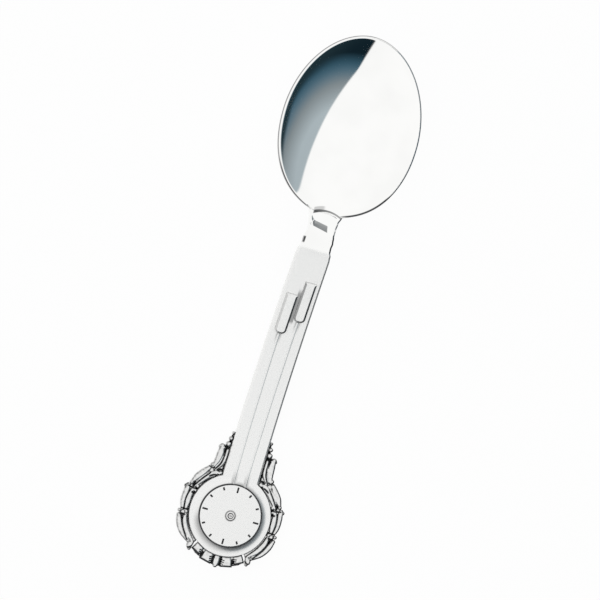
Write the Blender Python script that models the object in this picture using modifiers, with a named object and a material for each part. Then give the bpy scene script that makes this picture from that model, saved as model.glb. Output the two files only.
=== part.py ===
"""Christening spoon with a handle shaped as a weight-driven wall clock.

The spoon lies along Y with its bowl at +Y, its face up (+Z) and +X on its right. The origin is under
the middle of its box, on the surface that it rests on. Lengths are metres.
"""
import math

import bmesh
import bpy
from mathutils import Matrix, Vector

# Handle and bowl, along Y from the centre of the dial
FLAT_LENGTH = 0.0160
CREASE_FROM_DIAL = 0.0805
SHOULDER_LENGTH = 0.0073
NECK_LENGTH = 0.0052
BOWL_LENGTH = 0.0497
BOWL_WIDEST_FROM_ROOT = 0.0239

# Widths and thicknesses of the blank
STEM_WIDTH_AT_DIAL = 0.01024
STEM_END_WIDTH = 0.00954
BOWL_WIDTH = 0.0383
EDGE_RADIUS = 0.00050
PLATE_THICKNESS = 0.0020
NECK_THICKNESS = 0.0026
BOWL_THICKNESS = 0.0013
NECK_CROWN = 0.00035

# Side view of the blank
HANDLE_RISE = 0.0107
NECK_STEP_DROP = 0.00175
NECK_STEP_RUN = 0.0020
NECK_FALL = 0.0002
RIM_FALL = 0.00275
CREASE_SOFTNESS = 0.00015
UNDERSIDE_SOFTNESS = 0.0016
BOWL_FOOT_DEPTH = 0.00005
BOWL_ENTRY = 0.0012
CROWN_FADE = 0.0040

# Case and dial
DIAL_RADIUS = 0.0084
RING_WIDTH = 0.0028
COVE_HEIGHT = 0.0006
CASE_LIP = 0.00012
DIAL_THICKNESS = 0.00075
DIAL_EDGE = 0.00010
SEAT_CLEARANCE = 0.00018

# Hour marks and the cells that hold them
HOURS = 12
LONG_MARK_EVERY = 3
MARK_MARGIN = 0.00043
LONG_MARK_LENGTH = 0.00149
SHORT_MARK_LENGTH = 0.00082
MARK_WIDTH = 0.00042
CELL_DEPTH = 0.00022
MARK_SINK = 0.00003

# Hub: bush, turning pin and washer
PIN_RADIUS = 0.00036
PIN_CLEARANCE = 0.00004
PIN_HEAD_OVERHANG = 0.00037
PIN_HEAD_HEIGHT = 0.00022
SLOT_LENGTH = 0.00070
SLOT_WIDTH = 0.00018
SLOT_DEPTH = 0.00010
BUSH_WALL = 0.00035
BUSH_FLANGE_WIDTH = 0.00052
BUSH_FLANGE_HEIGHT = 0.00025
WASHER_WIDTH = 0.00069
WASHER_THICKNESS = 0.00030
WASHER_SINK = 0.00022
WASHER_WELL_CLEARANCE = 0.00015

# Weights and cords
WEIGHT_LENGTH = 0.0114
WEIGHT_WIDTH = 0.00315
WEIGHT_THICKNESS = 0.00060
WEIGHT_CORNER = 0.00125
WEIGHT_EDGE = 0.00010
WEIGHT_SPACING = 0.0008
WEIGHT_SHIFT = -0.000105
RIGHT_WEIGHT_FROM_SHOULDER = 0.0064
WEIGHT_STAGGER = 0.0042
CORD_RADIUS = 0.00025
CORD_OFFSET_AT_DIAL = 0.00170

# Cast frame
FRAME_FOOT = 0.00035
FRAME_PLATE_THICKNESS = 0.00090
LEAF_EDGE_HEIGHT = 0.00150
LEAF_CROWN_HEIGHT = 0.00070
BEAD_CENTRE_HEIGHT = 0.00150
RIB_WIDTH = 0.00024

# Gap that solder or a seat fills between two pieces
JOINT_GAP = 0.00004
CUT_OVERRUN = 0.0010
MERGE_DISTANCE = 0.000001
SLOPE_REACH = 0.0002

# How fine the faces are
TURNED_STEPS = 64
HUB_STEPS = 24
ARC_STEPS = 3
COVE_STEPS = 4
SPOON_COLUMNS = 14
STEM_ROWS = 11
HANDLE_END_ROWS = 9
NECK_STEP_ROWS = 5
NECK_ROWS = 4
SHOULDER_ROWS = 9
TIP_ROWS = 10
LEAF_STATIONS = 7
CORD_POINTS = 18
CORD_POINT_BIAS = 1.6
BOWL_ROW_BIAS = 1.35
BEAD_SEGMENTS = 10
BEAD_RINGS = 6
SHARP_ANGLE = 35

# Plan of the shoulders and neck: share of the way from the stem's end to the bowl's root, and share
# of half the stem's end width
NECK_OUTLINE_SHARES = (
    (0.00, 1.000), (0.13, 0.965), (0.22, 0.875), (0.31, 0.850), (0.40, 0.865), (0.49, 0.830),
    (0.59, 0.775), (0.72, 0.795), (0.86, 0.850), (1.00, 0.970),
)
STEM_START_SHARE = 0.20
COVE_WIDTH_SHARE = 0.61

# Shape exponents: 2 is an ellipse or a parabola
SHOULDER_POWER = 2.15
TIP_POWER = 1.94
NECK_BLEND_POWER = 4
WALL_POWER = 1.0
RISE_BEND = 0.40
RIM_BEND = 0.50
STEP_EASE = 0.10
COVE_POWER = 1.5

# Leaves of the right half frame: centre x, centre y and half-width, as shares of the case radius.
# The stem's edge is drawn at its own share, and the upper leaves and beads follow that edge
STEM_EDGE_SHARE = 0.453
LEAF_TANGENT_SHARE = 0.02
LEAF_FALL_SHARE = 0.35
LEAF_SECTION_SHARES = ((-1.0, 0.0), (-0.5, 0.7), (0.0, 1.0), (0.5, 0.7), (1.0, 0.0))
LEAF_SHARES = (
    ((0.506, 1.515, 0.034), (0.520, 1.330, 0.054), (0.573, 1.140, 0.056), (0.690, 0.985, 0.026)),
    ((0.668, 1.570, 0.042), (0.655, 1.405, 0.070), (0.676, 1.210, 0.062), (0.734, 1.020, 0.026)),
    ((0.600, 0.868, 0.036), (0.742, 0.811, 0.056), (0.888, 0.670, 0.062), (1.017, 0.472, 0.030)),
    ((0.806, 0.993, 0.040), (0.915, 0.845, 0.064), (1.026, 0.698, 0.066), (1.114, 0.557, 0.032)),
    ((1.045, 0.375, 0.034), (1.080, 0.218, 0.055), (1.088, 0.024, 0.056), (1.092, -0.157, 0.026)),
    ((1.186, 0.441, 0.044), (1.190, 0.242, 0.066), (1.187, 0.024, 0.066), (1.167, -0.157, 0.030)),
    ((1.053, -0.280, 0.034), (1.012, -0.462, 0.056), (0.901, -0.656, 0.056), (0.714, -0.835, 0.026)),
    ((1.206, -0.315, 0.044), (1.130, -0.506, 0.066), (0.994, -0.698, 0.066), (0.799, -0.879, 0.030)),
    ((0.700, -0.880, 0.040), (0.738, -0.957, 0.062), (0.730, -1.035, 0.036)),
)

# Beads of the right half frame: centre x, centre y and radius, as shares of the case radius
BEAD_SHARES = (
    (0.489, 1.949, 0.036), (0.511, 1.802, 0.053), (0.530, 1.656, 0.065), (0.760, 1.073, 0.050),
    (0.512, 0.925, 0.045), (1.126, 0.521, 0.045), (0.958, 0.462, 0.041), (1.218, -0.206, 0.045),
    (1.050, -0.197, 0.038),
)

# Outer edge of the right half frame's back plate, from the top bead to the crest
PLATE_EDGE_SHARES = (
    (0.495, 1.970), (0.545, 1.655), (0.690, 1.560), (0.727, 1.210), (0.787, 1.060), (0.940, 0.872),
    (1.120, 0.570), (1.205, 0.420), (1.220, 0.100), (1.195, -0.200), (1.190, -0.340), (1.095, -0.605),
    (0.835, -0.860), (0.745, -1.010),
)
PLATE_INNER_SHARE = 0.97
PLATE_INNER_STEPS = 7
PLATE_INNER_ANGLES = (66.0, -53.0)

# Crest: lobes as centre x, centre y, half-width along their axis, then its ribs as x and y
CREST_REACH_SHARE = 1.306
CREST_TONGUE_SHARES = ((0.0, -1.045, 0.072), (0.0, -1.180, 0.074), (0.0, -CREST_REACH_SHARE, 0.050))
CREST_LOBE_SHARES = (
    ((0.235, -1.020, 0.115), (0.242, -1.130, 0.128), (0.250, -1.240, 0.122)),
    ((0.475, -0.945, 0.098), (0.510, -1.040, 0.112), (0.530, -1.105, 0.085)),
)
CREST_RIB_SHARES = (
    ((0.118, -1.075), (0.190, -1.078)), ((0.118, -1.115), (0.185, -1.118)),
    ((0.118, -1.155), (0.180, -1.158)), ((0.345, -0.995), (0.420, -0.975)),
    ((0.352, -1.040), (0.427, -1.020)), ((0.359, -1.085), (0.434, -1.065)),
    ((0.366, -1.130), (0.436, -1.110)),
)
CREST_PLATE_SHARES = (
    (0.0, -1.270), (0.120, -1.245), (0.290, -1.225), (0.400, -1.170), (0.560, -1.100), (0.640, -1.010),
    (0.600, -0.870),
)

# Places that follow from the sizes above
CASE_RADIUS = DIAL_RADIUS + RING_WIDTH
CREST_REACH = CREST_REACH_SHARE * CASE_RADIUS
SPOON_LENGTH = CREST_REACH + CREASE_FROM_DIAL + NECK_LENGTH + BOWL_LENGTH
Y_DIAL = CREST_REACH - SPOON_LENGTH / 2
Y_FLAT = Y_DIAL + FLAT_LENGTH
Y_CREASE = Y_DIAL + CREASE_FROM_DIAL
Y_SHOULDER = Y_CREASE - SHOULDER_LENGTH
Y_STEP_FOOT = Y_CREASE + NECK_STEP_RUN
Y_ROOT = Y_CREASE + NECK_LENGTH
Y_WIDEST = Y_ROOT + BOWL_WIDEST_FROM_ROOT
Y_TIP = Y_ROOT + BOWL_LENGTH
CREST_OF_ARCH = PLATE_THICKNESS + HANDLE_RISE
SEAT_RADIUS = DIAL_RADIUS + SEAT_CLEARANCE
Y_STEM_START = Y_DIAL + SEAT_RADIUS + STEM_START_SHARE * (CASE_RADIUS - SEAT_RADIUS)
LIP_END = SEAT_RADIUS + CASE_LIP
COVE_WIDTH = COVE_WIDTH_SHARE * RING_WIDTH
LIP_HEIGHT = PLATE_THICKNESS + COVE_HEIGHT
DIAL_FOOT = PLATE_THICKNESS + JOINT_GAP
DIAL_FACE = DIAL_FOOT + DIAL_THICKNESS
BORE_RADIUS = PIN_RADIUS + PIN_CLEARANCE
BUSH_SHANK_RADIUS = BORE_RADIUS + BUSH_WALL
BUSH_RADIUS = BUSH_SHANK_RADIUS + BUSH_FLANGE_WIDTH
BUSH_FACE = DIAL_FACE + JOINT_GAP + BUSH_FLANGE_HEIGHT
HOLE_RADIUS = BUSH_SHANK_RADIUS + JOINT_GAP
PIN_HEAD_RADIUS = PIN_RADIUS + PIN_HEAD_OVERHANG
WASHER_RADIUS = PIN_RADIUS + WASHER_WIDTH
WASHER_WELL_DEPTH = WASHER_SINK + WASHER_THICKNESS + 2 * PIN_CLEARANCE
LEFT_WEIGHT_X = WEIGHT_SHIFT - (WEIGHT_SPACING + WEIGHT_WIDTH) / 2
RIGHT_WEIGHT_X = WEIGHT_SHIFT + (WEIGHT_SPACING + WEIGHT_WIDTH) / 2
RIGHT_WEIGHT_Y = Y_SHOULDER - RIGHT_WEIGHT_FROM_SHOULDER - WEIGHT_LENGTH / 2
LEFT_WEIGHT_Y = RIGHT_WEIGHT_Y - WEIGHT_STAGGER

COLLECTION = "christening_spoon"
CUTTERS = "cutters"


def clear_scene():
    for old in list(bpy.data.objects):
        bpy.data.objects.remove(old, do_unlink=True)


def collection(name):
    made = bpy.data.collections.new(name)
    bpy.context.scene.collection.children.link(made)
    return made


def finish(name, colour, metallic, roughness):
    """Principled material of one finish."""
    made = bpy.data.materials.new(name)
    made.use_nodes = True
    shader = made.node_tree.nodes["Principled BSDF"]
    shader.inputs["Base Color"].default_value = (*colour, 1.0)
    shader.inputs["Metallic"].default_value = metallic
    shader.inputs["Roughness"].default_value = roughness
    return made


def piece(name, mesh, material, group):
    """Object of one sub-part, linked to a collection."""
    made = bpy.data.objects.new(name, mesh)
    if material is not None:
        mesh.materials.append(material)
    group.objects.link(made)
    return made


def as_cutter(made):
    """Guides and cutters show as wires and are not part of the spoon."""
    made.hide_render = True
    made.display_type = "WIRE"
    return made


def mesh_from(name, bm):
    """Closed mesh from a bmesh, faces out, flat faces kept crisp."""
    bmesh.ops.recalc_face_normals(bm, faces=bm.faces)
    mesh = bpy.data.meshes.new(name)
    bm.to_mesh(mesh)
    bm.free()
    mesh.shade_smooth()
    mesh.set_sharp_from_angle(angle=math.radians(SHARP_ANGLE))
    return mesh


def boolean(target, operation, operand):
    """Boolean against one object, or against every object of a collection."""
    step = target.modifiers.new(operation.lower(), "BOOLEAN")
    step.operation = operation
    step.solver = "EXACT"
    if isinstance(operand, bpy.types.Collection):
        step.operand_type = "COLLECTION"
        step.collection = operand
    else:
        step.object = operand
    return step


def smooth_step(value):
    held = min(max(value, 0.0), 1.0)
    return held * held * (3.0 - 2.0 * held)


def smooth_minimum(first, second, softness):
    """The lower of two heights, with the corner between them rounded."""
    near = max(softness - abs(first - second), 0.0)
    return min(first, second) - near * near / (4.0 * softness)


def eased_ramp(value, ease):
    """Straight ramp from 0 to 1 whose two ends, each a share of its run, are rounded."""
    held = min(max(value, 0.0), 1.0)
    if held < ease:
        return held * held / (2.0 * ease * (1.0 - ease))
    if held > 1.0 - ease:
        return 1.0 - (1.0 - held) ** 2 / (2.0 * ease * (1.0 - ease))
    return (held - ease / 2.0) / (1.0 - ease)


def through_points(points, share):
    """Catmull-Rom curve through points, read at a share of its way."""
    spans = len(points) - 1
    place = min(max(share, 0.0), 1.0) * spans
    index = min(int(place), spans - 1)
    local = place - index
    before = Vector(points[max(index - 1, 0)])
    first = Vector(points[index])
    second = Vector(points[index + 1])
    after = Vector(points[min(index + 2, spans)])
    return 0.5 * (
        2.0 * first
        + (second - before) * local
        + (2.0 * before - 5.0 * first + 4.0 * second - after) * local ** 2
        + (3.0 * first - before - 3.0 * second + after) * local ** 3
    )


def neck_half_width(y):
    """Half the width of the shoulders and neck, without the bowl."""
    share = (y - Y_SHOULDER) / (Y_ROOT - Y_SHOULDER)
    table = NECK_OUTLINE_SHARES
    if share >= table[-1][0]:
        return table[-1][1] * STEM_END_WIDTH / 2
    index = max(i for i, point in enumerate(table) if point[0] <= max(share, 0.0))
    local = (max(share, 0.0) - table[index][0]) / (table[index + 1][0] - table[index][0])
    eased = smooth_step(local)
    return (table[index][1] * (1.0 - eased) + table[index + 1][1] * eased) * STEM_END_WIDTH / 2


def half_width(y):
    """Half the width of the blank at a place before the bowl's widest line."""
    if y <= Y_SHOULDER:
        along = (y - Y_DIAL) / (Y_SHOULDER - Y_DIAL)
        return (STEM_WIDTH_AT_DIAL * (1.0 - along) + STEM_END_WIDTH * along) / 2
    neck = neck_half_width(y)
    if y <= Y_ROOT:
        return neck
    before_widest = min((Y_WIDEST - y) / (Y_WIDEST - Y_ROOT), 1.0)
    bowl = BOWL_WIDTH / 2 * (1.0 - before_widest ** SHOULDER_POWER) ** (1.0 / SHOULDER_POWER)
    merged = (neck ** NECK_BLEND_POWER + bowl ** NECK_BLEND_POWER) ** (1.0 / NECK_BLEND_POWER)
    fade = smooth_step(1.0 - before_widest)
    return merged * (1.0 - fade) + bowl * fade


def centre_height(y, softness):
    """Height of the top face over the axis: flat case, arched handle, step down, neck and rim."""
    along = max((y - Y_FLAT) / (Y_CREASE - Y_FLAT), 0.0)
    rising = PLATE_THICKNESS + HANDLE_RISE * along ** 2 * (1.0 + RISE_BEND - RISE_BEND * along)
    step = NECK_STEP_DROP * eased_ramp((y - Y_CREASE) / NECK_STEP_RUN, STEP_EASE)
    if y <= Y_ROOT:
        falling = CREST_OF_ARCH - step - NECK_FALL * (y - Y_CREASE) / NECK_LENGTH
    else:
        run = (y - Y_ROOT) / BOWL_LENGTH
        falling = CREST_OF_ARCH - step - NECK_FALL - RIM_FALL * run * (1.0 + RIM_BEND - RIM_BEND * run)
    if y <= Y_FLAT:
        return PLATE_THICKNESS
    if y >= Y_ROOT + CROWN_FADE:
        return falling
    return smooth_minimum(rising, falling, softness)


def blank_thickness(y):
    """Thickness of the blank: plate, thicker neck, thinner bowl."""
    if y <= Y_CREASE:
        share = smooth_step((y - Y_FLAT) / (Y_CREASE - Y_FLAT))
        return PLATE_THICKNESS * (1.0 - share) + NECK_THICKNESS * share
    share = smooth_step((y - Y_CREASE) / (NECK_LENGTH + BOWL_WIDEST_FROM_ROOT))
    return NECK_THICKNESS * (1.0 - share) + BOWL_THICKNESS * share


def bowl_depth():
    """Depth of the hollow that brings the underside of the bowl down to the rest surface."""
    return centre_height(Y_WIDEST, CREASE_SOFTNESS) - blank_thickness(Y_WIDEST) + BOWL_FOOT_DEPTH


def openness(x, y):
    """One in the middle of the bowl and zero along its rim: the share that sets the depth."""
    if y <= Y_ROOT:
        return 0.0
    if y <= Y_WIDEST:
        across = abs(x) / (half_width(y) - EDGE_RADIUS)
        along = (Y_WIDEST - y) / (Y_WIDEST - Y_ROOT)
        return max((1.0 - along ** 2) * (1.0 - across ** 2), 0.0)
    across = abs(x) / (BOWL_WIDTH / 2 - EDGE_RADIUS)
    along = (y - Y_WIDEST) / (Y_TIP - Y_WIDEST - EDGE_RADIUS)
    reach = (across ** TIP_POWER + along ** TIP_POWER) ** (1.0 / TIP_POWER)
    return max(1.0 - reach ** 2, 0.0)


def hollow(x, y):
    """How far the face of the bowl lies below its rim."""
    entry = 1.0 - math.exp(min(Y_ROOT - y, 0.0) / BOWL_ENTRY)
    return bowl_depth() * openness(x, y) ** WALL_POWER * entry


def crown(x, y):
    """Roundness of the neck's top face."""
    into = smooth_step((y - Y_SHOULDER) / (Y_CREASE - Y_SHOULDER))
    out = smooth_step((Y_ROOT + CROWN_FADE - y) / CROWN_FADE)
    across = min(abs(x) / half_width(min(y, Y_ROOT)), 1.0)
    return NECK_CROWN * into * out * (1.0 - across ** 2)


def face_height(x, y):
    """Height of the top face of the blank."""
    return centre_height(y, CREASE_SOFTNESS) + crown(x, y) - hollow(x, y)


def back_height(x, y):
    """Height of the underside of the blank, never below the surface that it rests on."""
    if y <= Y_FLAT:
        return 0.0
    return max(centre_height(y, UNDERSIDE_SOFTNESS) - hollow(x, y) - blank_thickness(y), 0.0)


def tip_place(across, along, inset):
    """Plan point of the bowl beyond its widest line, from a grid square turned into a round end."""
    disc_x = across * math.sqrt(1.0 - along ** 2 / 2.0)
    disc_y = along * math.sqrt(1.0 - across ** 2 / 2.0)
    reach = math.hypot(disc_x, disc_y)
    if reach > 0.0:
        lean = (abs(disc_x / reach) ** TIP_POWER + abs(disc_y / reach) ** TIP_POWER) ** (-1.0 / TIP_POWER)
    else:
        lean = 1.0
    x = disc_x * lean * (BOWL_WIDTH / 2 - inset)
    y = Y_WIDEST + disc_y * lean * (Y_TIP - Y_WIDEST - inset)
    return x, y


def spoon_rows():
    """Row places from the case to the widest line, then shares of the way round the tip."""
    stretches = (
        (Y_STEM_START, Y_SHOULDER, STEM_ROWS, 1.0),
        (Y_SHOULDER, Y_CREASE, HANDLE_END_ROWS, 1.0),
        (Y_CREASE, Y_STEP_FOOT, NECK_STEP_ROWS, 1.0),
        (Y_STEP_FOOT, Y_ROOT, NECK_ROWS, 1.0),
        (Y_ROOT, Y_WIDEST, SHOULDER_ROWS, BOWL_ROW_BIAS),
    )
    rows = [("straight", Y_STEM_START)]
    for start, end, count, bias in stretches:
        for step in range(1, count + 1):
            rows.append(("straight", start + (end - start) * (step / count) ** bias))
    for step in range(1, TIP_ROWS + 1):
        rows.append(("tip", step / TIP_ROWS))
    return rows


def plan_place(row, across, inset):
    """Plan point of a grid place: across runs from -1 on the left edge to 1 on the right edge."""
    kind, value = row
    if kind == "tip":
        return tip_place(across, value, inset)
    return across * (half_width(value) - inset), value


def stem_and_bowl(material, group):
    """Stem, neck and bowl as one loft: a face, a back and a rounded edge between them."""
    bm = bmesh.new()
    rows = spoon_rows()
    columns = [2.0 * step / SPOON_COLUMNS - 1.0 for step in range(SPOON_COLUMNS + 1)]
    layers = []
    for height in (face_height, back_height):
        layer = []
        for row in rows:
            places = [plan_place(row, across, EDGE_RADIUS) for across in columns]
            layer.append([bm.verts.new((x, y, height(x, y))) for x, y in places])
        layers.append(layer)
    for layer in layers:
        for low, high in zip(layer, layer[1:]):
            for i in range(SPOON_COLUMNS):
                bm.faces.new((low[i], low[i + 1], high[i + 1], high[i]))

    last = len(rows) - 1
    border = [(row, 0) for row in range(last)]
    border += [(last, column) for column in range(SPOON_COLUMNS)]
    border += [(row, SPOON_COLUMNS) for row in range(last, -1, -1)]
    rings = [[layers[0][row][column] for row, column in border]]
    for step in range(1, 2 * ARC_STEPS):
        turn = math.pi * step / (2 * ARC_STEPS)
        inset = EDGE_RADIUS * (1.0 - math.sin(turn))
        ring = []
        for row, column in border:
            x, y = plan_place(rows[row], columns[column], inset)
            top = layers[0][row][column].co.z
            bottom = layers[1][row][column].co.z
            z = (top + bottom) / 2 + (top - bottom) / 2 * math.cos(turn)
            ring.append(bm.verts.new((x, y, z)))
        rings.append(ring)
    rings.append([layers[1][row][column] for row, column in border])
    for upper, lower in zip(rings, rings[1:]):
        for i in range(len(border) - 1):
            bm.faces.new((upper[i], upper[i + 1], lower[i + 1], lower[i]))
    left_side = [ring[0] for ring in rings]
    right_side = [ring[-1] for ring in rings]
    bm.faces.new(list(reversed(layers[0][0][1:-1])) + left_side + layers[1][0][1:-1]
                 + list(reversed(right_side)))
    return piece("stem_and_bowl", mesh_from("stem_and_bowl", bm), material, group)


def turned(name, profile, steps, material, group):
    """Turned piece about an upright axis through the dial's centre, from a closed or axis-to-axis profile."""
    bm = bmesh.new()
    points = [bm.verts.new((radius, 0.0, z)) for radius, z in profile]
    for first, second in zip(points, points[1:]):
        bm.edges.new((first, second))
    if profile[0][0] > 0.0:
        bm.edges.new((points[-1], points[0]))
    mesh = bpy.data.meshes.new(name)
    bm.to_mesh(mesh)
    bm.free()
    made = piece(name, mesh, material, group)
    made.location = (0.0, Y_DIAL, 0.0)
    screw = made.modifiers.new("turn", "SCREW")
    screw.angle = math.tau
    screw.steps = steps
    screw.render_steps = steps
    screw.use_merge_vertices = True
    screw.merge_threshold = MERGE_DISTANCE
    return made


def arc(centre_radius, centre_z, across, up, start, end, steps):
    """Points of an elliptic arc in a turned profile, angles in degrees from outward."""
    points = []
    for step in range(steps + 1):
        turn = math.radians(start + (end - start) * step / steps)
        points.append((centre_radius + across * math.cos(turn), centre_z + up * math.sin(turn)))
    return points


def cove_height(radius):
    """Height of the case's face at a distance from the dial's centre."""
    share = min(max((radius - LIP_END) / COVE_WIDTH, 0.0), 1.0)
    return PLATE_THICKNESS + COVE_HEIGHT * (1.0 - share) ** COVE_POWER


def case_plate(material, group):
    """Round case: dial seat, cove round it, rounded edge, and the washer's well in the back."""
    profile = [(HOLE_RADIUS, PLATE_THICKNESS), (SEAT_RADIUS, PLATE_THICKNESS), (SEAT_RADIUS, LIP_HEIGHT)]
    for step in range(COVE_STEPS + 1):
        radius = LIP_END + COVE_WIDTH * step / COVE_STEPS
        profile.append((radius, cove_height(radius)))
    middle = PLATE_THICKNESS / 2
    profile += arc(CASE_RADIUS - EDGE_RADIUS, middle, EDGE_RADIUS, middle, 90, -90, 2 * ARC_STEPS)
    well = WASHER_RADIUS + WASHER_WELL_CLEARANCE
    profile += [(well, 0.0), (well, WASHER_WELL_DEPTH), (HOLE_RADIUS, WASHER_WELL_DEPTH)]
    return turned("case_plate", profile, TURNED_STEPS, material, group)


def spoon_body(material, parts, guides):
    """The struck blank: the case, the stem, the neck and the bowl in one piece."""
    body = stem_and_bowl(material, parts)
    body.name = "spoon_body"
    plate = as_cutter(case_plate(None, guides))
    boolean(body, "UNION", plate)
    return body


def mark_direction(hour):
    """Direction of an hour from the hub. Twelve is at the crest, and the hours run clockwise."""
    turn = math.tau * hour / HOURS
    return -math.sin(turn), -math.cos(turn)


def mark_length(hour):
    return LONG_MARK_LENGTH if hour % LONG_MARK_EVERY == 0 else SHORT_MARK_LENGTH


def add_bar(bm, hour, grow, bottom, top):
    """One upright block along an hour's direction, grown on all sides by the clearance."""
    length = mark_length(hour) + 2 * grow
    width = MARK_WIDTH + 2 * grow
    middle = DIAL_RADIUS - MARK_MARGIN - mark_length(hour) / 2
    across, along = mark_direction(hour)
    turn = Matrix.Rotation(-math.atan2(across, along), 4, "Z")
    place = Matrix.Translation((across * middle, along * middle, (bottom + top) / 2))
    size = Matrix.Diagonal((width, length, top - bottom, 1.0))
    bmesh.ops.create_cube(bm, size=1.0, matrix=place @ turn @ size)


def dial(material, parts, guides):
    """Raised disc with a bevelled edge, a cell for each mark and the hole of the bush."""
    profile = [
        (HOLE_RADIUS, DIAL_FACE), (DIAL_RADIUS - DIAL_EDGE, DIAL_FACE), (DIAL_RADIUS, DIAL_FACE - DIAL_EDGE),
        (DIAL_RADIUS, DIAL_FOOT), (HOLE_RADIUS, DIAL_FOOT),
    ]
    made = turned("dial", profile, TURNED_STEPS, material, parts)
    bm = bmesh.new()
    for hour in range(1, HOURS + 1):
        add_bar(bm, hour, JOINT_GAP, DIAL_FACE - CELL_DEPTH, DIAL_FACE + CELL_DEPTH)
    cells = as_cutter(piece("dial_cells", mesh_from("dial_cells", bm), None, guides))
    cells.location = (0.0, Y_DIAL, 0.0)
    boolean(made, "DIFFERENCE", cells)
    return made


def hour_marks(material, parts):
    """Black fillings of the cells, a hair below the face of the dial."""
    for hour in range(1, HOURS + 1):
        bm = bmesh.new()
        add_bar(bm, hour, 0.0, DIAL_FACE - CELL_DEPTH + JOINT_GAP, DIAL_FACE - MARK_SINK)
        name = f"hour_mark_{hour:02d}"
        mark = piece(name, mesh_from(name, bm), material, parts)
        mark.location = (0.0, Y_DIAL, 0.0)


def pivot_bush(material, parts):
    """Flanged bush through the dial and the case, flush with the washer's well at its foot."""
    under_flange = DIAL_FACE + JOINT_GAP
    profile = [
        (BORE_RADIUS, BUSH_FACE), (BUSH_RADIUS, BUSH_FACE), (BUSH_RADIUS, under_flange),
        (BUSH_SHANK_RADIUS, under_flange), (BUSH_SHANK_RADIUS, WASHER_WELL_DEPTH),
        (BORE_RADIUS, WASHER_WELL_DEPTH),
    ]
    return turned("pivot_bush", profile, HUB_STEPS, material, parts)


def washer_heights():
    """Foot and top of the washer, which runs just below the bush inside its well."""
    top = WASHER_WELL_DEPTH - PIN_CLEARANCE
    return top - WASHER_THICKNESS, top


def hand_pivot(material, parts, guides):
    """Pin that carries the hands: slotted head over the bush, tail through the washer."""
    tail = washer_heights()[0] - PIN_CLEARANCE
    under_head = BUSH_FACE + PIN_CLEARANCE
    top = under_head + PIN_HEAD_HEIGHT
    profile = [
        (0.0, top), (PIN_HEAD_RADIUS - PIN_CLEARANCE, top), (PIN_HEAD_RADIUS, top - PIN_CLEARANCE),
        (PIN_HEAD_RADIUS, under_head), (PIN_RADIUS, under_head), (PIN_RADIUS, tail), (0.0, tail),
    ]
    made = turned("hand_pivot", profile, HUB_STEPS, material, parts)
    bm = bmesh.new()
    place = Matrix.Translation((0.0, 0.0, top))
    size = Matrix.Diagonal((SLOT_LENGTH, SLOT_WIDTH, 2 * SLOT_DEPTH, 1.0))
    bmesh.ops.create_cube(bm, size=1.0, matrix=place @ size)
    slot = as_cutter(piece("pivot_slot", mesh_from("pivot_slot", bm), None, guides))
    slot.location = (0.0, Y_DIAL, 0.0)
    boolean(made, "DIFFERENCE", slot)
    return made


def pivot_washer(material, parts):
    """Washer fixed on the pin's tail, sunk in its well so that the back of the case stays flat."""
    foot, top = washer_heights()
    inner = PIN_RADIUS + JOINT_GAP
    profile = [(inner, top), (WASHER_RADIUS, top), (WASHER_RADIUS, foot), (inner, foot)]
    return turned("pivot_washer", profile, HUB_STEPS, material, parts)


def weight_outline():
    """Plan of a weight about its middle: square towards the bowl, round towards the dial."""
    half = WEIGHT_WIDTH / 2
    ahead = WEIGHT_LENGTH / 2
    points = [(half, ahead), (-half, ahead)]
    for centre_x, start in ((WEIGHT_CORNER - half, 180), (half - WEIGHT_CORNER, 270)):
        for step in range(2 * ARC_STEPS + 1):
            turn = math.radians(start + 90 * step / (2 * ARC_STEPS))
            x = centre_x + WEIGHT_CORNER * math.cos(turn)
            points.append((x, WEIGHT_CORNER - ahead + WEIGHT_CORNER * math.sin(turn)))
    return points


def weight(name, x, y, material, parts):
    """Flat bar on the face of the stem, with its edge eased, seated on the chord of the arch."""
    shape = bpy.data.curves.new(name, "CURVE")
    shape.dimensions = "2D"
    shape.fill_mode = "BOTH"
    shape.bevel_depth = WEIGHT_EDGE
    shape.bevel_resolution = 0
    shape.offset = -WEIGHT_EDGE
    shape.extrude = WEIGHT_THICKNESS / 2 - WEIGHT_EDGE
    outline = weight_outline()
    spline = shape.splines.new("POLY")
    spline.points.add(len(outline) - 1)
    for point, (px, py) in zip(spline.points, outline):
        point.co = (px, py, 0.0, 1.0)
    spline.use_cyclic_u = True
    shape.materials.append(material)
    made = bpy.data.objects.new(name, shape)
    parts.objects.link(made)
    ends = (y - WEIGHT_LENGTH / 2, y + WEIGHT_LENGTH / 2)
    back, front = [Vector((0.0, end, face_height(x, end))) for end in ends]
    slope = math.atan2(front.z - back.z, front.y - back.y)
    up = Vector((0.0, -math.sin(slope), math.cos(slope)))
    seat = (back + front) / 2 + up * (WEIGHT_THICKNESS / 2 + JOINT_GAP)
    made.location = (x, seat.y, seat.z)
    made.rotation_euler = (slope, 0.0, 0.0)
    weld = made.modifiers.new("close", "WELD")
    weld.merge_threshold = MERGE_DISTANCE
    return made


def face_slope(y):
    """Slope of the top face along the axis."""
    ahead = centre_height(y + SLOPE_REACH, CREASE_SOFTNESS)
    behind = centre_height(y - SLOPE_REACH, CREASE_SOFTNESS)
    return (ahead - behind) / (2 * SLOPE_REACH)


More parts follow.
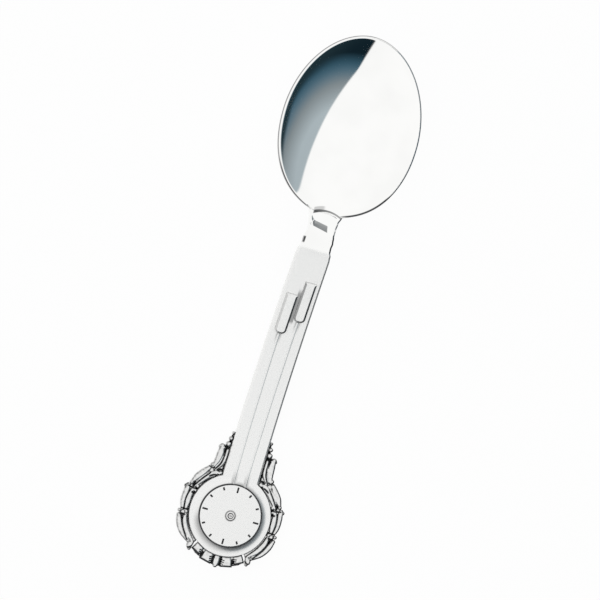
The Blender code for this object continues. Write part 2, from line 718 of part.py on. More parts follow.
def cord(name, start_x, weight_x, weight_y, material, parts):
    """Wire that lies on the case and the stem, from the dial's edge to the end of its weight."""
    start = math.sqrt((SEAT_RADIUS + JOINT_GAP) ** 2 - (abs(start_x) - CORD_RADIUS) ** 2)
    end = weight_y - WEIGHT_LENGTH / 2 - JOINT_GAP - Y_DIAL
    shape = bpy.data.curves.new(name, "CURVE")
    shape.dimensions = "3D"
    shape.bevel_depth = CORD_RADIUS
    shape.bevel_resolution = 2
    shape.render_resolution_u = 0
    shape.use_fill_caps = True
    spline = shape.splines.new("POLY")
    spline.points.add(CORD_POINTS - 1)
    for index, point in enumerate(spline.points):
        way = (index / (CORD_POINTS - 1)) ** CORD_POINT_BIAS
        x = start_x + (weight_x - start_x) * way
        along = start + (end - start) * way
        y = Y_DIAL + along
        ground = max(cove_height(math.hypot(abs(x) - CORD_RADIUS, along)), face_height(x, y))
        lift = (CORD_RADIUS + JOINT_GAP) * math.hypot(1.0, face_slope(y))
        point.co = (x, y, ground + lift, 1.0)
    shape.materials.append(material)
    made = bpy.data.objects.new(name, shape)
    parts.objects.link(made)
    weld = made.modifiers.new("close", "WELD")
    weld.merge_threshold = MERGE_DISTANCE
    return made


def place_in_case(x_share, y_share, side):
    """World plan point of shares of the case radius, on one side, drawn along with the stem's edge."""
    y = Y_DIAL + y_share * CASE_RADIUS
    beside_stem = smooth_step((y_share - STEM_EDGE_SHARE) / (1.0 - STEM_EDGE_SHARE))
    shift = beside_stem * (half_width(y) - STEM_EDGE_SHARE * CASE_RADIUS)
    return side * (x_share * CASE_RADIUS + shift), y


def leaf(name, points, side, crown_height, group):
    """One ridged leaf: stations along a curve, each with a flat foot and a peaked back."""
    bm = bmesh.new()
    stations = []
    for step in range(LEAF_STATIONS):
        share = step / (LEAF_STATIONS - 1)
        x, y, half = through_points(points, share)
        before = through_points(points, share - LEAF_TANGENT_SHARE)
        ahead = through_points(points, share + LEAF_TANGENT_SHARE) - before
        normal = Vector((ahead.y, -ahead.x)).normalized()
        peak = crown_height * (1.0 - LEAF_FALL_SHARE * share)
        back = [(across, LEAF_EDGE_HEIGHT + rise * peak) for across, rise in LEAF_SECTION_SHARES]
        section = []
        for across, z in [(-1.0, FRAME_FOOT)] + back + [(1.0, FRAME_FOOT)]:
            px, py = place_in_case(x + normal.x * half * across, y + normal.y * half * across, side)
            section.append(bm.verts.new((px, py, z)))
        stations.append(section)
    for low, high in zip(stations, stations[1:]):
        for i in range(len(low)):
            j = (i + 1) % len(low)
            bm.faces.new((low[i], low[j], high[j], high[i]))
    bm.faces.new(stations[0])
    bm.faces.new(list(reversed(stations[-1])))
    return as_cutter(piece(name, mesh_from(name, bm), None, group))


def bead(name, x, y, radius, side, group):
    """One bead, a ball that stands on the back plate."""
    bm = bmesh.new()
    px, py = place_in_case(x, y, side)
    place = Matrix.Translation((px, py, BEAD_CENTRE_HEIGHT))
    bmesh.ops.create_uvsphere(bm, u_segments=BEAD_SEGMENTS, v_segments=BEAD_RINGS,
                              radius=radius * CASE_RADIUS, matrix=place)
    return as_cutter(piece(name, mesh_from(name, bm), None, group))


def slab(name, outline, bottom, top, material, group):
    """Flat plate of an outline given as world plan points."""
    bm = bmesh.new()
    face = bm.faces.new([bm.verts.new((x, y, bottom)) for x, y in outline])
    lifted = bmesh.ops.extrude_face_region(bm, geom=[face])
    moved = [item for item in lifted["geom"] if isinstance(item, bmesh.types.BMVert)]
    bmesh.ops.translate(bm, verts=moved, vec=(0.0, 0.0, top - bottom))
    return piece(name, mesh_from(name, bm), material, group)


def fit_cutter(guides):
    """Space that the castings leave for the case and the stem, with the joint's gap."""
    bm = bmesh.new()
    radius = CASE_RADIUS + JOINT_GAP
    tall = PLATE_THICKNESS + CUT_OVERRUN
    place = Matrix.Translation((0.0, Y_DIAL, tall / 2 - CUT_OVERRUN / 2))
    bmesh.ops.create_cone(bm, cap_ends=True, segments=TURNED_STEPS, radius1=radius, radius2=radius,
                          depth=tall + CUT_OVERRUN, matrix=place)
    disc = as_cutter(piece("case_space", mesh_from("case_space", bm), None, guides))
    reach = 2 * CASE_RADIUS + CUT_OVERRUN
    near = half_width(Y_DIAL) + JOINT_GAP
    far = half_width(Y_DIAL + reach) + JOINT_GAP
    outline = [(-near, Y_DIAL), (near, Y_DIAL), (far, Y_DIAL + reach), (-far, Y_DIAL + reach)]
    strip = slab("stem_space", outline, -CUT_OVERRUN, tall, None, guides)
    return disc, as_cutter(strip)


def scroll(name, side, fit, material, parts):
    """Half frame: back plate, nine leaves and nine beads, cut clear of the case and the stem."""
    bits = collection(f"{name}_bits")
    first, last = PLATE_INNER_ANGLES
    outline = [place_in_case(PLATE_INNER_SHARE * STEM_EDGE_SHARE, PLATE_EDGE_SHARES[0][1], side)]
    for step in range(PLATE_INNER_STEPS + 1):
        turn = math.radians(first + (last - first) * step / PLATE_INNER_STEPS)
        inner = PLATE_INNER_SHARE * math.cos(turn), PLATE_INNER_SHARE * math.sin(turn)
        outline.append(place_in_case(*inner, side))
    outline += [place_in_case(x, y, side) for x, y in reversed(PLATE_EDGE_SHARES)]
    made = slab(name, outline, FRAME_FOOT, FRAME_FOOT + FRAME_PLATE_THICKNESS, material, parts)
    for index, points in enumerate(LEAF_SHARES, 1):
        leaf(f"{name}_leaf_{index}", points, side, LEAF_CROWN_HEIGHT, bits)
    for index, (x, y, radius) in enumerate(BEAD_SHARES, 1):
        bead(f"{name}_bead_{index}", x, y, radius, side, bits)
    boolean(made, "UNION", bits)
    for cutter in fit:
        boolean(made, "DIFFERENCE", cutter)
    return made


def crest(fit, material, parts):
    """End of the frame: a tongue between two pairs of lobes, with short ribs beside them."""
    bits = collection("crest_bits")
    right = [place_in_case(x, y, 1) for x, y in CREST_PLATE_SHARES[1:]]
    left = [place_in_case(x, y, -1) for x, y in reversed(CREST_PLATE_SHARES[1:])]
    outline = [place_in_case(*CREST_PLATE_SHARES[0], 1)] + right + left
    made = slab("crest", outline, FRAME_FOOT, FRAME_FOOT + FRAME_PLATE_THICKNESS, material, parts)
    leaf("crest_tongue", CREST_TONGUE_SHARES, 1, LEAF_CROWN_HEIGHT, bits)
    for side, hand in ((-1, "left"), (1, "right")):
        for index, points in enumerate(CREST_LOBE_SHARES, 1):
            leaf(f"crest_lobe_{hand}_{index}", points, side, LEAF_CROWN_HEIGHT, bits)
        for index, ends in enumerate(CREST_RIB_SHARES, 1):
            points = [(x, y, RIB_WIDTH / 2 / CASE_RADIUS) for x, y in ends]
            leaf(f"crest_rib_{hand}_{index}", points, side, RIB_WIDTH, bits)
    boolean(made, "UNION", bits)
    boolean(made, "DIFFERENCE", fit[0])
    return made


def main():
    clear_scene()
    parts = collection(COLLECTION)
    guides = collection(CUTTERS)
    satin = finish("satin_silver", (0.86, 0.86, 0.85), 1.0, 0.28)
    polished = finish("polished_silver", (0.90, 0.90, 0.89), 1.0, 0.08)
    cast = finish("cast_silver", (0.78, 0.78, 0.77), 1.0, 0.32)
    black = finish("black_enamel", (0.015, 0.015, 0.017), 0.0, 0.35)
    spoon_body(polished, parts, guides)
    dial(satin, parts, guides)
    hour_marks(black, parts)
    pivot_bush(cast, parts)
    hand_pivot(polished, parts, guides)
    pivot_washer(polished, parts)
    weight("weight_left", LEFT_WEIGHT_X, LEFT_WEIGHT_Y, satin, parts)
    weight("weight_right", RIGHT_WEIGHT_X, RIGHT_WEIGHT_Y, satin, parts)
    cord("cord_left", -CORD_OFFSET_AT_DIAL, LEFT_WEIGHT_X, LEFT_WEIGHT_Y, satin, parts)
    cord("cord_right", CORD_OFFSET_AT_DIAL, RIGHT_WEIGHT_X, RIGHT_WEIGHT_Y, satin, parts)
    fit = fit_cutter(guides)
    scroll("scroll_right", 1, fit, cast, parts)
    scroll("scroll_left", -1, fit, cast, parts)
    crest(fit, cast, parts)


main()
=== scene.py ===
"""Silver christening spoon whose handle is a small weight-driven wall clock.

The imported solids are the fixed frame. Each piece here is the fine surface of one of them, built from the
same sizes. +Y runs along the spoon to the tip of the bowl, +Z is up out of the bowl. Lengths are metres.
"""
import math

import bmesh
import bpy
import numpy as np
from bpy.props import FloatProperty, FloatVectorProperty, PointerProperty
from mathutils import Matrix, Vector


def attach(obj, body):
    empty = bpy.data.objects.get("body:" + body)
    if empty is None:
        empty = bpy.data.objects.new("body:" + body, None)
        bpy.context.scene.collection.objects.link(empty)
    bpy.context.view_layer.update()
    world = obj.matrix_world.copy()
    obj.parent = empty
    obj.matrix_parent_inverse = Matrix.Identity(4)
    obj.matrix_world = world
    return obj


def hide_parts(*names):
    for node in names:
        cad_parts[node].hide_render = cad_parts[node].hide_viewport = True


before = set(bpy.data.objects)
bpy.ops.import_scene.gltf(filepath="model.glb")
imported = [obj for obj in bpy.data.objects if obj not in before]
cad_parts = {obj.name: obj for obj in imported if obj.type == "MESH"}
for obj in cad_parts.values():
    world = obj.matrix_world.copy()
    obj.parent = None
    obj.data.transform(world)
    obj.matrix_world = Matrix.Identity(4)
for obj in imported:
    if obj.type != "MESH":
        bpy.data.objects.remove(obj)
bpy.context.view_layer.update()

bl_info = {
    "name": "Christening spoon",
    "version": (1, 0, 0),
    "blender": (4, 5, 0),
    "location": "3D View > Sidebar > Spoon",
    "description": "Builds the fine surfaces, the finishes and the stage of a silver christening spoon",
    "category": "Object",
}

# Blank: lengths from the dial's centre, widths and thicknesses
FLAT_LENGTH = 0.0160
CREASE_FROM_DIAL = 0.0805
SHOULDER_LENGTH = 0.0073
NECK_LENGTH = 0.0052
BOWL_LENGTH = 0.0497
BOWL_WIDEST_FROM_ROOT = 0.0239
STEM_WIDTH_AT_DIAL = 0.01024
STEM_END_WIDTH = 0.00954
BOWL_WIDTH = 0.0383
EDGE_RADIUS = 0.00050
PLATE_THICKNESS = 0.0020
NECK_THICKNESS = 0.0026
BOWL_THICKNESS = 0.0013
NECK_CROWN = 0.00035

# Blank: side view
HANDLE_RISE = 0.01067
NECK_STEP_DROP = 0.00175
NECK_STEP_RUN = 0.0020
NECK_FALL = 0.0002
RIM_FALL = 0.00275
CREASE_SOFTNESS = 0.00015
UNDERSIDE_SOFTNESS = 0.0016
BOWL_FOOT_DEPTH = 0.00005
BOWL_ENTRY = 0.0012
CROWN_FADE = 0.0040

# Case, dial and hour marks
DIAL_RADIUS = 0.0084
RING_WIDTH = 0.0028
COVE_HEIGHT = 0.0006
CASE_LIP = 0.00012
DIAL_THICKNESS = 0.00075
SEAT_CLEARANCE = 0.00018
HOURS = 12
LONG_MARK_EVERY = 3
MARK_MARGIN = 0.00043
LONG_MARK_LENGTH = 0.00149
SHORT_MARK_LENGTH = 0.00082
MARK_WIDTH = 0.00042
CELL_DEPTH = 0.00022
MARK_SINK = 0.00003

# Hub
PIN_RADIUS = 0.00036
PIN_CLEARANCE = 0.00004
PIN_HEAD_OVERHANG = 0.00037
PIN_HEAD_HEIGHT = 0.00022
SLOT_LENGTH = 0.00070
SLOT_WIDTH = 0.00018
SLOT_DEPTH = 0.00010
BUSH_WALL = 0.00035
BUSH_FLANGE_WIDTH = 0.00052
BUSH_FLANGE_HEIGHT = 0.00025
WASHER_WIDTH = 0.00069
WASHER_THICKNESS = 0.00030
WASHER_SINK = 0.00022
WASHER_WELL_CLEARANCE = 0.00015

# Weights and cords
WEIGHT_LENGTH = 0.0114
WEIGHT_WIDTH = 0.00315
WEIGHT_THICKNESS = 0.00060
WEIGHT_CORNER = 0.00125
WEIGHT_SPACING = 0.0008
WEIGHT_SHIFT = -0.000105
RIGHT_WEIGHT_FROM_SHOULDER = 0.0064
WEIGHT_STAGGER = 0.0042
CORD_OFFSET_AT_DIAL = 0.00170
CORD_FADE = 0.0022

# Cast frame
FRAME_FOOT = 0.00035
FRAME_PLATE_THICKNESS = 0.00090
JOINT_GAP = 0.00004

# Shares and exponents of the blank's outline and bowl
NECK_OUTLINE_SHARES = (
    (0.00, 1.000), (0.13, 0.965), (0.22, 0.875), (0.31, 0.850), (0.40, 0.865), (0.49, 0.830),
    (0.59, 0.775), (0.72, 0.795), (0.86, 0.850), (1.00, 0.970),
)
STEM_START_SHARE = 0.20
COVE_WIDTH_SHARE = 0.61
CREST_REACH_SHARE = 1.306
STEM_EDGE_SHARE = 0.453
SHOULDER_POWER = 2.15
TIP_POWER = 1.94
NECK_BLEND_POWER = 4
RISE_BEND = 0.40
RIM_BEND = 0.50
STEP_EASE = 0.10
COVE_POWER = 2.0

# Places that follow
CASE_RADIUS = DIAL_RADIUS + RING_WIDTH
SPOON_LENGTH = CREST_REACH_SHARE * CASE_RADIUS + CREASE_FROM_DIAL + NECK_LENGTH + BOWL_LENGTH
Y_DIAL = CREST_REACH_SHARE * CASE_RADIUS - SPOON_LENGTH / 2
Y_FLAT = Y_DIAL + FLAT_LENGTH
Y_CREASE = Y_DIAL + CREASE_FROM_DIAL
Y_SHOULDER = Y_CREASE - SHOULDER_LENGTH
Y_STEP_FOOT = Y_CREASE + NECK_STEP_RUN
Y_ROOT = Y_CREASE + NECK_LENGTH
Y_WIDEST = Y_ROOT + BOWL_WIDEST_FROM_ROOT
Y_TIP = Y_ROOT + BOWL_LENGTH
CREST_OF_ARCH = PLATE_THICKNESS + HANDLE_RISE
SEAT_RADIUS = DIAL_RADIUS + SEAT_CLEARANCE
Y_STEM_START = Y_DIAL + SEAT_RADIUS + STEM_START_SHARE * (CASE_RADIUS - SEAT_RADIUS)
LIP_END = SEAT_RADIUS + CASE_LIP
COVE_WIDTH = COVE_WIDTH_SHARE * RING_WIDTH
LIP_HEIGHT = PLATE_THICKNESS + COVE_HEIGHT
DIAL_FOOT = PLATE_THICKNESS + JOINT_GAP
DIAL_FACE = DIAL_FOOT + DIAL_THICKNESS
BORE_RADIUS = PIN_RADIUS + PIN_CLEARANCE
BUSH_SHANK_RADIUS = BORE_RADIUS + BUSH_WALL
BUSH_RADIUS = BUSH_SHANK_RADIUS + BUSH_FLANGE_WIDTH
BUSH_FACE = DIAL_FACE + JOINT_GAP + BUSH_FLANGE_HEIGHT
HOLE_RADIUS = BUSH_SHANK_RADIUS + JOINT_GAP
PIN_HEAD_RADIUS = PIN_RADIUS + PIN_HEAD_OVERHANG
WASHER_RADIUS = PIN_RADIUS + WASHER_WIDTH
PIN_TOP = BUSH_FACE + PIN_CLEARANCE + PIN_HEAD_HEIGHT
WASHER_WELL_DEPTH = WASHER_SINK + WASHER_THICKNESS + 2 * PIN_CLEARANCE
LEFT_WEIGHT_X = WEIGHT_SHIFT - (WEIGHT_SPACING + WEIGHT_WIDTH) / 2
RIGHT_WEIGHT_X = WEIGHT_SHIFT + (WEIGHT_SPACING + WEIGHT_WIDTH) / 2
RIGHT_WEIGHT_Y = Y_SHOULDER - RIGHT_WEIGHT_FROM_SHOULDER - WEIGHT_LENGTH / 2
LEFT_WEIGHT_Y = RIGHT_WEIGHT_Y - WEIGHT_STAGGER

# Fine surface: grid counts
BODY_COLUMNS = 84
BODY_ROWS = ((96, 1.0), (52, 1.0), (26, 1.0), (30, 1.0), (96, 1.35))
TIP_ROWS = 72
EDGE_STEPS = 7
TURNED_STEPS = 240
HUB_STEPS = 96
ARC_STEPS = 12
COVE_STEPS = 24
CURVE_STEPS = 40
CORD_STATIONS = 140
CORD_SECTION = 10
RELIEF_STEP = 0.00009
SHARP_ANGLE = 40
WEIGHT_SHARP_ANGLE = 25
CORD_SHARP_ANGLE = 60
CAST_SHARP_ANGLE = 62

# Fine surface: edges and rims
EDGE_SLOPE = 37.0
EDGE_CORNER = 0.00012
EDGE_CORNER_DROP = 1.3
EDGE_TOP_SHARES = (
    (0.06, 0.02), (0.15, 0.11), (0.25, 0.25), (0.45, 0.45), (0.65, 0.65), (0.85, 0.85), (1.00, 1.00),
)
RIM_LAND = 0.00022
RIM_SOFTNESS = 0.00010
SEAT_LIP = 0.00005
DIAL_SLOPE_WIDTH = 0.00014
DIAL_SLOPE_FALL = 0.00010
DIAL_EDGE_SHARES = ((1.0, 0.04), (0.75, 0.25), (0.40, 0.60), (0.08, 0.92), (0.008, 1.25), (0.0, 1.60))
DIAL_FLAT_MARGIN = 0.00006
HUB_GROOVE = 0.0004
CELL_CORNER = 0.00010
MARK_EASE = 0.00003
HUB_EDGE = 0.00008
WASHER_EDGE = 0.00004
WEIGHT_SQUARE_CORNER = 0.00012
WEIGHT_EDGE_EASE = 0.12
CORD_BIAS = 1.3

# Facet past the crease: steep in its middle, easing off to both sides
FACET_MIDDLE = -0.0006
FACET_HALF_WIDTH = 0.0042
FACET_RUN = 0.00228
FACET_LEAN = 0.045
FACET_REACH = 0.0024
FACET_START = 0.0005
FACET_SKEW = 0.20
FACET_STEEP_SHARE = 0.45
FACET_SIDE_RUN_SHARE = 0.9

# Lip at the start of the bowl, an arc in plan
LIP_MIDDLE = -0.0004
LIP_START_FROM_ROOT = -0.0001
LIP_BOW = 0.0009
LIP_RUN = 0.0006
LIP_FADE = 0.0034

# Castings: heights, pads, grooves, and painted shade on the edges
LEAF_EDGE = 0.00145
HOOD_EDGE = 0.00160
HOOD_PEAK_SHARE = 0.75
BEAD_CENTRE = 0.00150
BEAD_BRIGHT_SHARE = 0.3
LEAF_FULLNESS = 1.14
LEAF_POWER = 3
LEAF_TAPER = 0.30
PAD_POWER = 4
PAD_SLOPE = 0.00040
PAD_LINE = 0.00064
PAD_LINE_FADE = 0.00022
GROOVE_DEPTH = 0.00040
GROOVE_FLOOR = 0.00050
GROOVE_STEPS = 16
FRINGE = 0.00032
FRINGE_FADE = 0.00016
STEM_FRINGE_SHARE = 0.8
EDGE_LINE = 0.00046
EDGE_LINE_FADE = 0.00016
EDGE_LEVEL = 0.56
EDGE_LEE = 0.70
EDGE_LEAST = 0.52
DARK_REACH = 10
DARK_BELOW = 0.00050
DARK_BELOW_START = 0.10
DARK_BELOW_MOST = 0.85
DARK_DEPTH = 0.00030
# The right half's level is a little higher than the left's, a painted shade on the half that lies away from
# the light.
DARK_LEVEL_RIGHT = 0.00130
DARK_LEVEL_LEFT = 0.00127
DARK_LEVEL_CREST = 0.00132

# Painted shade: the rim's line on each side, as strength, then strength and width beside the neck
RIM_LINE = 0.00028
RIM_LINE_FADE = 0.00014
RIM_LEFT = (0.72, 0.90, 0.00036)
RIM_RIGHT = (0.54, 0.98, 0.00062)
RIM_LOW_END = 0.0118
RIM_LOW_FADE = 0.0040
RIM_START = 0.001
SLOPE_STEP = 0.00002

# Painted shade: the shadow line at the step between neck and bowl, the notch of the neck, the shade beside
# the cords and round the dial
ARCH_SHADOW_MIDDLE = 0.0006
ARCH_SHADOW_HALF_LENGTH = 0.0043
ARCH_SHADOW_BOW = 0.0012
ARCH_SHADOW_START = 0.0008
ARCH_SHADOW_BROAD = 0.00050
ARCH_SHADOW_NARROW = 0.00026
NECK_NOTCH = 0.0172
CORD_SHADE = 0.00100
CORD_SHADE_BY_DIAL = 0.0044
CORD_SHADE_BY_WEIGHT = 0.0036
RING_SHADE_NARROW = 0.00115
RING_SHADE_BROAD = 0.00200

# Finish: how metallic the satin is, its share of the silver's colour, and grain
SATIN_METALLIC = 0.62
SATIN_SHARE = 0.972
POLISHED_SHARE = 1.04
DIAL_SHARE = 0.965
GRAIN_DEPTH = 0.00002
POLISH_START = 0.0016
POLISH_END = 0.0030
LATHE_PITCH = 120000.0

# Corners of the castings' height grids, in metres from the dial's centre
FRAME_GRID = ((0.0030, -0.0128), (0.0145, 0.0232))
CREST_GRID = ((-0.0080, -0.01485), (0.0080, -0.0085))

# Half frame: leaves as centre x, centre y and half-width, in shares of the case radius
LEAF_SHARES = (
    ((0.506, 1.515, 0.034), (0.520, 1.330, 0.054), (0.573, 1.140, 0.056), (0.690, 0.985, 0.026)),
    ((0.668, 1.570, 0.042), (0.655, 1.405, 0.070), (0.676, 1.210, 0.062), (0.734, 1.020, 0.026)),
    ((0.600, 0.868, 0.036), (0.742, 0.811, 0.056), (0.888, 0.670, 0.062), (1.017, 0.472, 0.030)),
    ((0.806, 0.993, 0.040), (0.915, 0.845, 0.064), (1.026, 0.698, 0.066), (1.114, 0.557, 0.032)),
    ((1.045, 0.375, 0.034), (1.080, 0.218, 0.055), (1.088, 0.024, 0.056), (1.092, -0.157, 0.026)),
    ((1.186, 0.441, 0.044), (1.190, 0.242, 0.066), (1.187, 0.024, 0.066), (1.167, -0.157, 0.030)),
    ((1.053, -0.280, 0.034), (1.012, -0.462, 0.056), (0.901, -0.656, 0.056), (0.714, -0.835, 0.026)),
    ((1.206, -0.315, 0.044), (1.130, -0.506, 0.066), (0.994, -0.698, 0.066), (0.799, -0.879, 0.030)),
    ((0.700, -0.880, 0.040), (0.738, -0.957, 0.062), (0.730, -1.035, 0.036)),
)
BEAD_SHARES = (
    (0.489, 1.949, 0.036), (0.511, 1.802, 0.053), (0.530, 1.656, 0.065), (0.760, 1.073, 0.050),
    (0.512, 0.925, 0.045), (1.126, 0.521, 0.045), (0.958, 0.462, 0.041), (1.218, -0.206, 0.045),
    (1.050, -0.197, 0.038),
)
PLATE_EDGE_SHARES = (
    (0.495, 1.970), (0.545, 1.655), (0.690, 1.560), (0.727, 1.210), (0.787, 1.060), (0.940, 0.872),
    (1.120, 0.570), (1.205, 0.420), (1.220, 0.100), (1.195, -0.200), (1.190, -0.340), (1.095, -0.605),
    (0.835, -0.860), (0.745, -1.010),
)
# Leaves that only the finished surface has: hoods over the pockets, and small scrolls
HOOD_SHARES = (
    ((0.533, 0.903, 0.027), (0.630, 0.918, 0.036), (0.738, 0.857, 0.024)),
    ((0.935, 0.295, 0.022), (0.993, 0.361, 0.029), (1.061, 0.320, 0.022)),
    ((0.617, 1.538, 0.029), (0.666, 1.588, 0.044), (0.717, 1.540, 0.029)),
    ((1.191, 0.354, 0.022), (1.240, 0.409, 0.034), (1.196, 0.441, 0.019)),
    ((0.707, -0.910, 0.029), (0.770, -0.930, 0.041), (0.785, -0.993, 0.024)),
)
# Dark grooves: a half-width, then the points of a line, all in shares of the case radius
GROOVES = (
    (0.024, ((0.470, 1.550), (0.467, 1.283), (0.479, 1.041))),
    (0.024, ((0.562, 1.538), (0.552, 1.332), (0.586, 1.138), (0.688, 0.964))),
    (0.031, ((0.557, 0.838), (0.642, 0.843), (0.738, 0.789))),
    (0.024, ((0.755, 0.872), (0.906, 0.678), (1.065, 0.446))),
    (0.022, ((1.199, 0.475), (1.269, 0.426), (1.249, 0.354))),
    (0.031, ((0.978, 0.281), (1.046, 0.291))),
    (0.019, ((1.119, 0.351), (1.157, 0.097), (1.128, -0.157))),
    (0.029, ((1.070, -0.276), (1.182, -0.286))),
    (0.024, ((1.133, -0.327), (1.027, -0.581), (0.843, -0.843))),
    (0.022, ((0.683, -0.964), (0.731, -1.007), (0.785, -1.022))),
    (0.019, ((0.446, 1.879), (0.533, 1.874))),
    (0.024, ((0.450, 1.724), (0.567, 1.719))),
    (0.029, ((0.455, 1.564), (0.521, 1.545), (0.605, 1.574))),
    (0.022, ((0.692, 1.017), (0.760, 0.998), (0.838, 1.031))),
    (0.024, ((0.455, 0.872), (0.528, 0.852), (0.571, 0.877))),
    (0.024, ((0.458, 1.007), (0.545, 1.007), (0.596, 0.964))),
    (0.022, ((1.046, 0.547), (1.056, 0.436))),
    (0.022, ((0.930, 0.392), (1.031, 0.392), (1.177, 0.426))),
    (0.019, ((1.017, -0.136), (1.128, -0.145), (1.264, -0.140))),
)
CREST_GROOVES = (
    (0.024, ((0.094, -1.041), (0.099, -1.162), (0.090, -1.271))),
    (0.031, ((0.373, -1.041), (0.392, -1.138), (0.392, -1.211))),
    (0.012, ((0.111, -1.080), (0.184, -1.085))), (0.012, ((0.111, -1.128), (0.179, -1.133))),
    (0.012, ((0.111, -1.177), (0.174, -1.182))), (0.012, ((0.383, -1.002), (0.465, -0.988))),
    (0.012, ((0.385, -1.051), (0.470, -1.036))), (0.012, ((0.390, -1.099), (0.470, -1.085))),
)
PLATE_INNER_SHARE = 0.97
PLATE_INNER_ANGLES = (66.0, -53.0)
PLATE_INNER_STEPS = 16
CREST_TONGUE_SHARES = ((0.0, -1.045, 0.072), (0.0, -1.180, 0.074), (0.0, -1.255, 0.050))
CREST_LOBE_SHARES = (
    ((0.222, -1.020, 0.116), (0.248, -1.120, 0.138), (0.270, -1.220, 0.150)),
    ((0.478, -0.896, 0.108), (0.516, -0.981, 0.120), (0.564, -1.064, 0.120)),
)
CREST_LOBE_REACH = (1.258, 1.208)
CREST_PLATE_SHARES = (
    (0.0, -1.270), (0.120, -1.245), (0.290, -1.225), (0.400, -1.170), (0.560, -1.100), (0.640, -1.010),
    (0.600, -0.870),
)

# Picture: the frame is 600 by 600 pixels, and the dial's centre lies at this pixel
PICTURE_SIDE = 600
DIAL_PIXEL = (230.4, 515.9)
METRES_PER_PIXEL = 0.000271
SENSOR = 36.0

# Floor, and flags: a dark side to the right, bounded by two planes through the centre, and a band
FLOOR_CELLS = 12
FLOOR_LEVEL = -0.00005
FLAG_DISTANCE = 6.0
FLAG_FOOT = -3.0
FLAG_ROWS = 24
FLAG_COLUMNS = 72
DARK_SIDE_PLANES = ((0.882, -0.099, -0.461), (0.711, -0.366, -0.600))
DARK_SIDE_SOFTNESS = 0.022
DEEP_TINT = (0.37, 1.0, 1.46)
PALE_TINT = (0.86, 1.0, 1.07)
BAND_COLOUR = (0.014, 0.030, 0.038)

# Directions and plain colours
X_AXIS = (1.0, 0.0, 0.0)
Y_AXIS = (0.0, 1.0, 0.0)
Z_AXIS = (0.0, 0.0, 1.0)
LOWER_RIGHT = (0.85, -0.53, 0.0)
EVEN = (1.0, 1.0, 1.0)
WHITE = (1.0, 1.0, 1.0)
BLACK = (0.0, 0.0, 0.0)


class SpoonFinish(bpy.types.PropertyGroup):
    """Colours and roughness of the metals and the enamel"""
    silver: FloatVectorProperty(
        name="Silver", description="Colour of polished silver", subtype="COLOR", default=(0.93, 0.93, 0.92))
    # This dark colour blackens the castings' hollows and also paints the shade on the body, weights, cords,
    # dial and hub.
    patina: FloatVectorProperty(
        name="Patina", description="Colour of the blackened hollows", subtype="COLOR",
        default=(0.045, 0.047, 0.050))
    enamel: FloatVectorProperty(
        name="Enamel", description="Colour of the hour marks", subtype="COLOR", default=(0.010, 0.010, 0.012))
    polish: FloatProperty(
        name="Polish", description="Roughness of the bowl and neck", default=0.05, min=0.0, max=1.0)
    satin: FloatProperty(
        name="Satin", description="Roughness of the stem and case", default=0.26, min=0.0, max=1.0)
    cast: FloatProperty(
        name="Cast", description="Roughness of the castings", default=0.20, min=0.0, max=1.0)


class SpoonShape(bpy.types.PropertyGroup):
    """Sizes of the finished surfaces that a maker would change"""
    weight_chamfer: FloatProperty(
        name="Weight chamfer", description="Width of the sloping edge of a weight", default=0.00048,
        unit="LENGTH", min=0.0001, max=0.0008, precision=5)
    weight_chamfer_depth: FloatProperty(
        name="Weight chamfer depth", description="Height of the sloping edge of a weight", default=0.00029,
        unit="LENGTH", min=0.0001, max=0.0005, precision=5)
    cord_half_width: FloatProperty(
        name="Cord half width", description="Half the width of a flattened cord", default=0.00038,
        unit="LENGTH", min=0.0001, max=0.0006, precision=5)
    cord_height: FloatProperty(
        name="Cord height", description="Height of a cord over the stem", default=0.00008,
        unit="LENGTH", min=0.00005, max=0.0003, precision=5)
    leaf_crown: FloatProperty(
        name="Leaf crown", description="Height of a leaf's back over its edge", default=0.00065,
        unit="LENGTH", min=0.0001, max=0.0010, precision=5)
    lip_depth: FloatProperty(
        name="Lip depth", description="Depth of the small step where the bowl meets the neck",
        default=0.00038, unit="LENGTH", min=0.0, max=0.0010, precision=5)


class SpoonStage(bpy.types.PropertyGroup):
    """Camera, white dome and floor"""
    tilt: FloatProperty(
        name="Tilt", description="Lean of the view from straight above, towards the left of the spoon",
        default=math.radians(9.5), subtype="ANGLE")
    roll: FloatProperty(
        name="Roll", description="Lean of the spoon in the picture", default=math.radians(16.7),
        subtype="ANGLE")
    distance: FloatProperty(
        name="Distance", description="Distance of the camera", default=2.0, unit="LENGTH", min=0.3, max=10.0)
    dome: FloatProperty(
        name="Dome", description="Strength of the white dome", default=1.0, min=0.0, max=2.0)
    floor_size: FloatProperty(
        name="Floor size", description="Side of the square floor", default=2.4, unit="LENGTH",
        min=0.2, max=10.0)


def settings():
    scene = bpy.context.scene
    return scene.spoon_finish, scene.spoon_shape, scene.spoon_stage


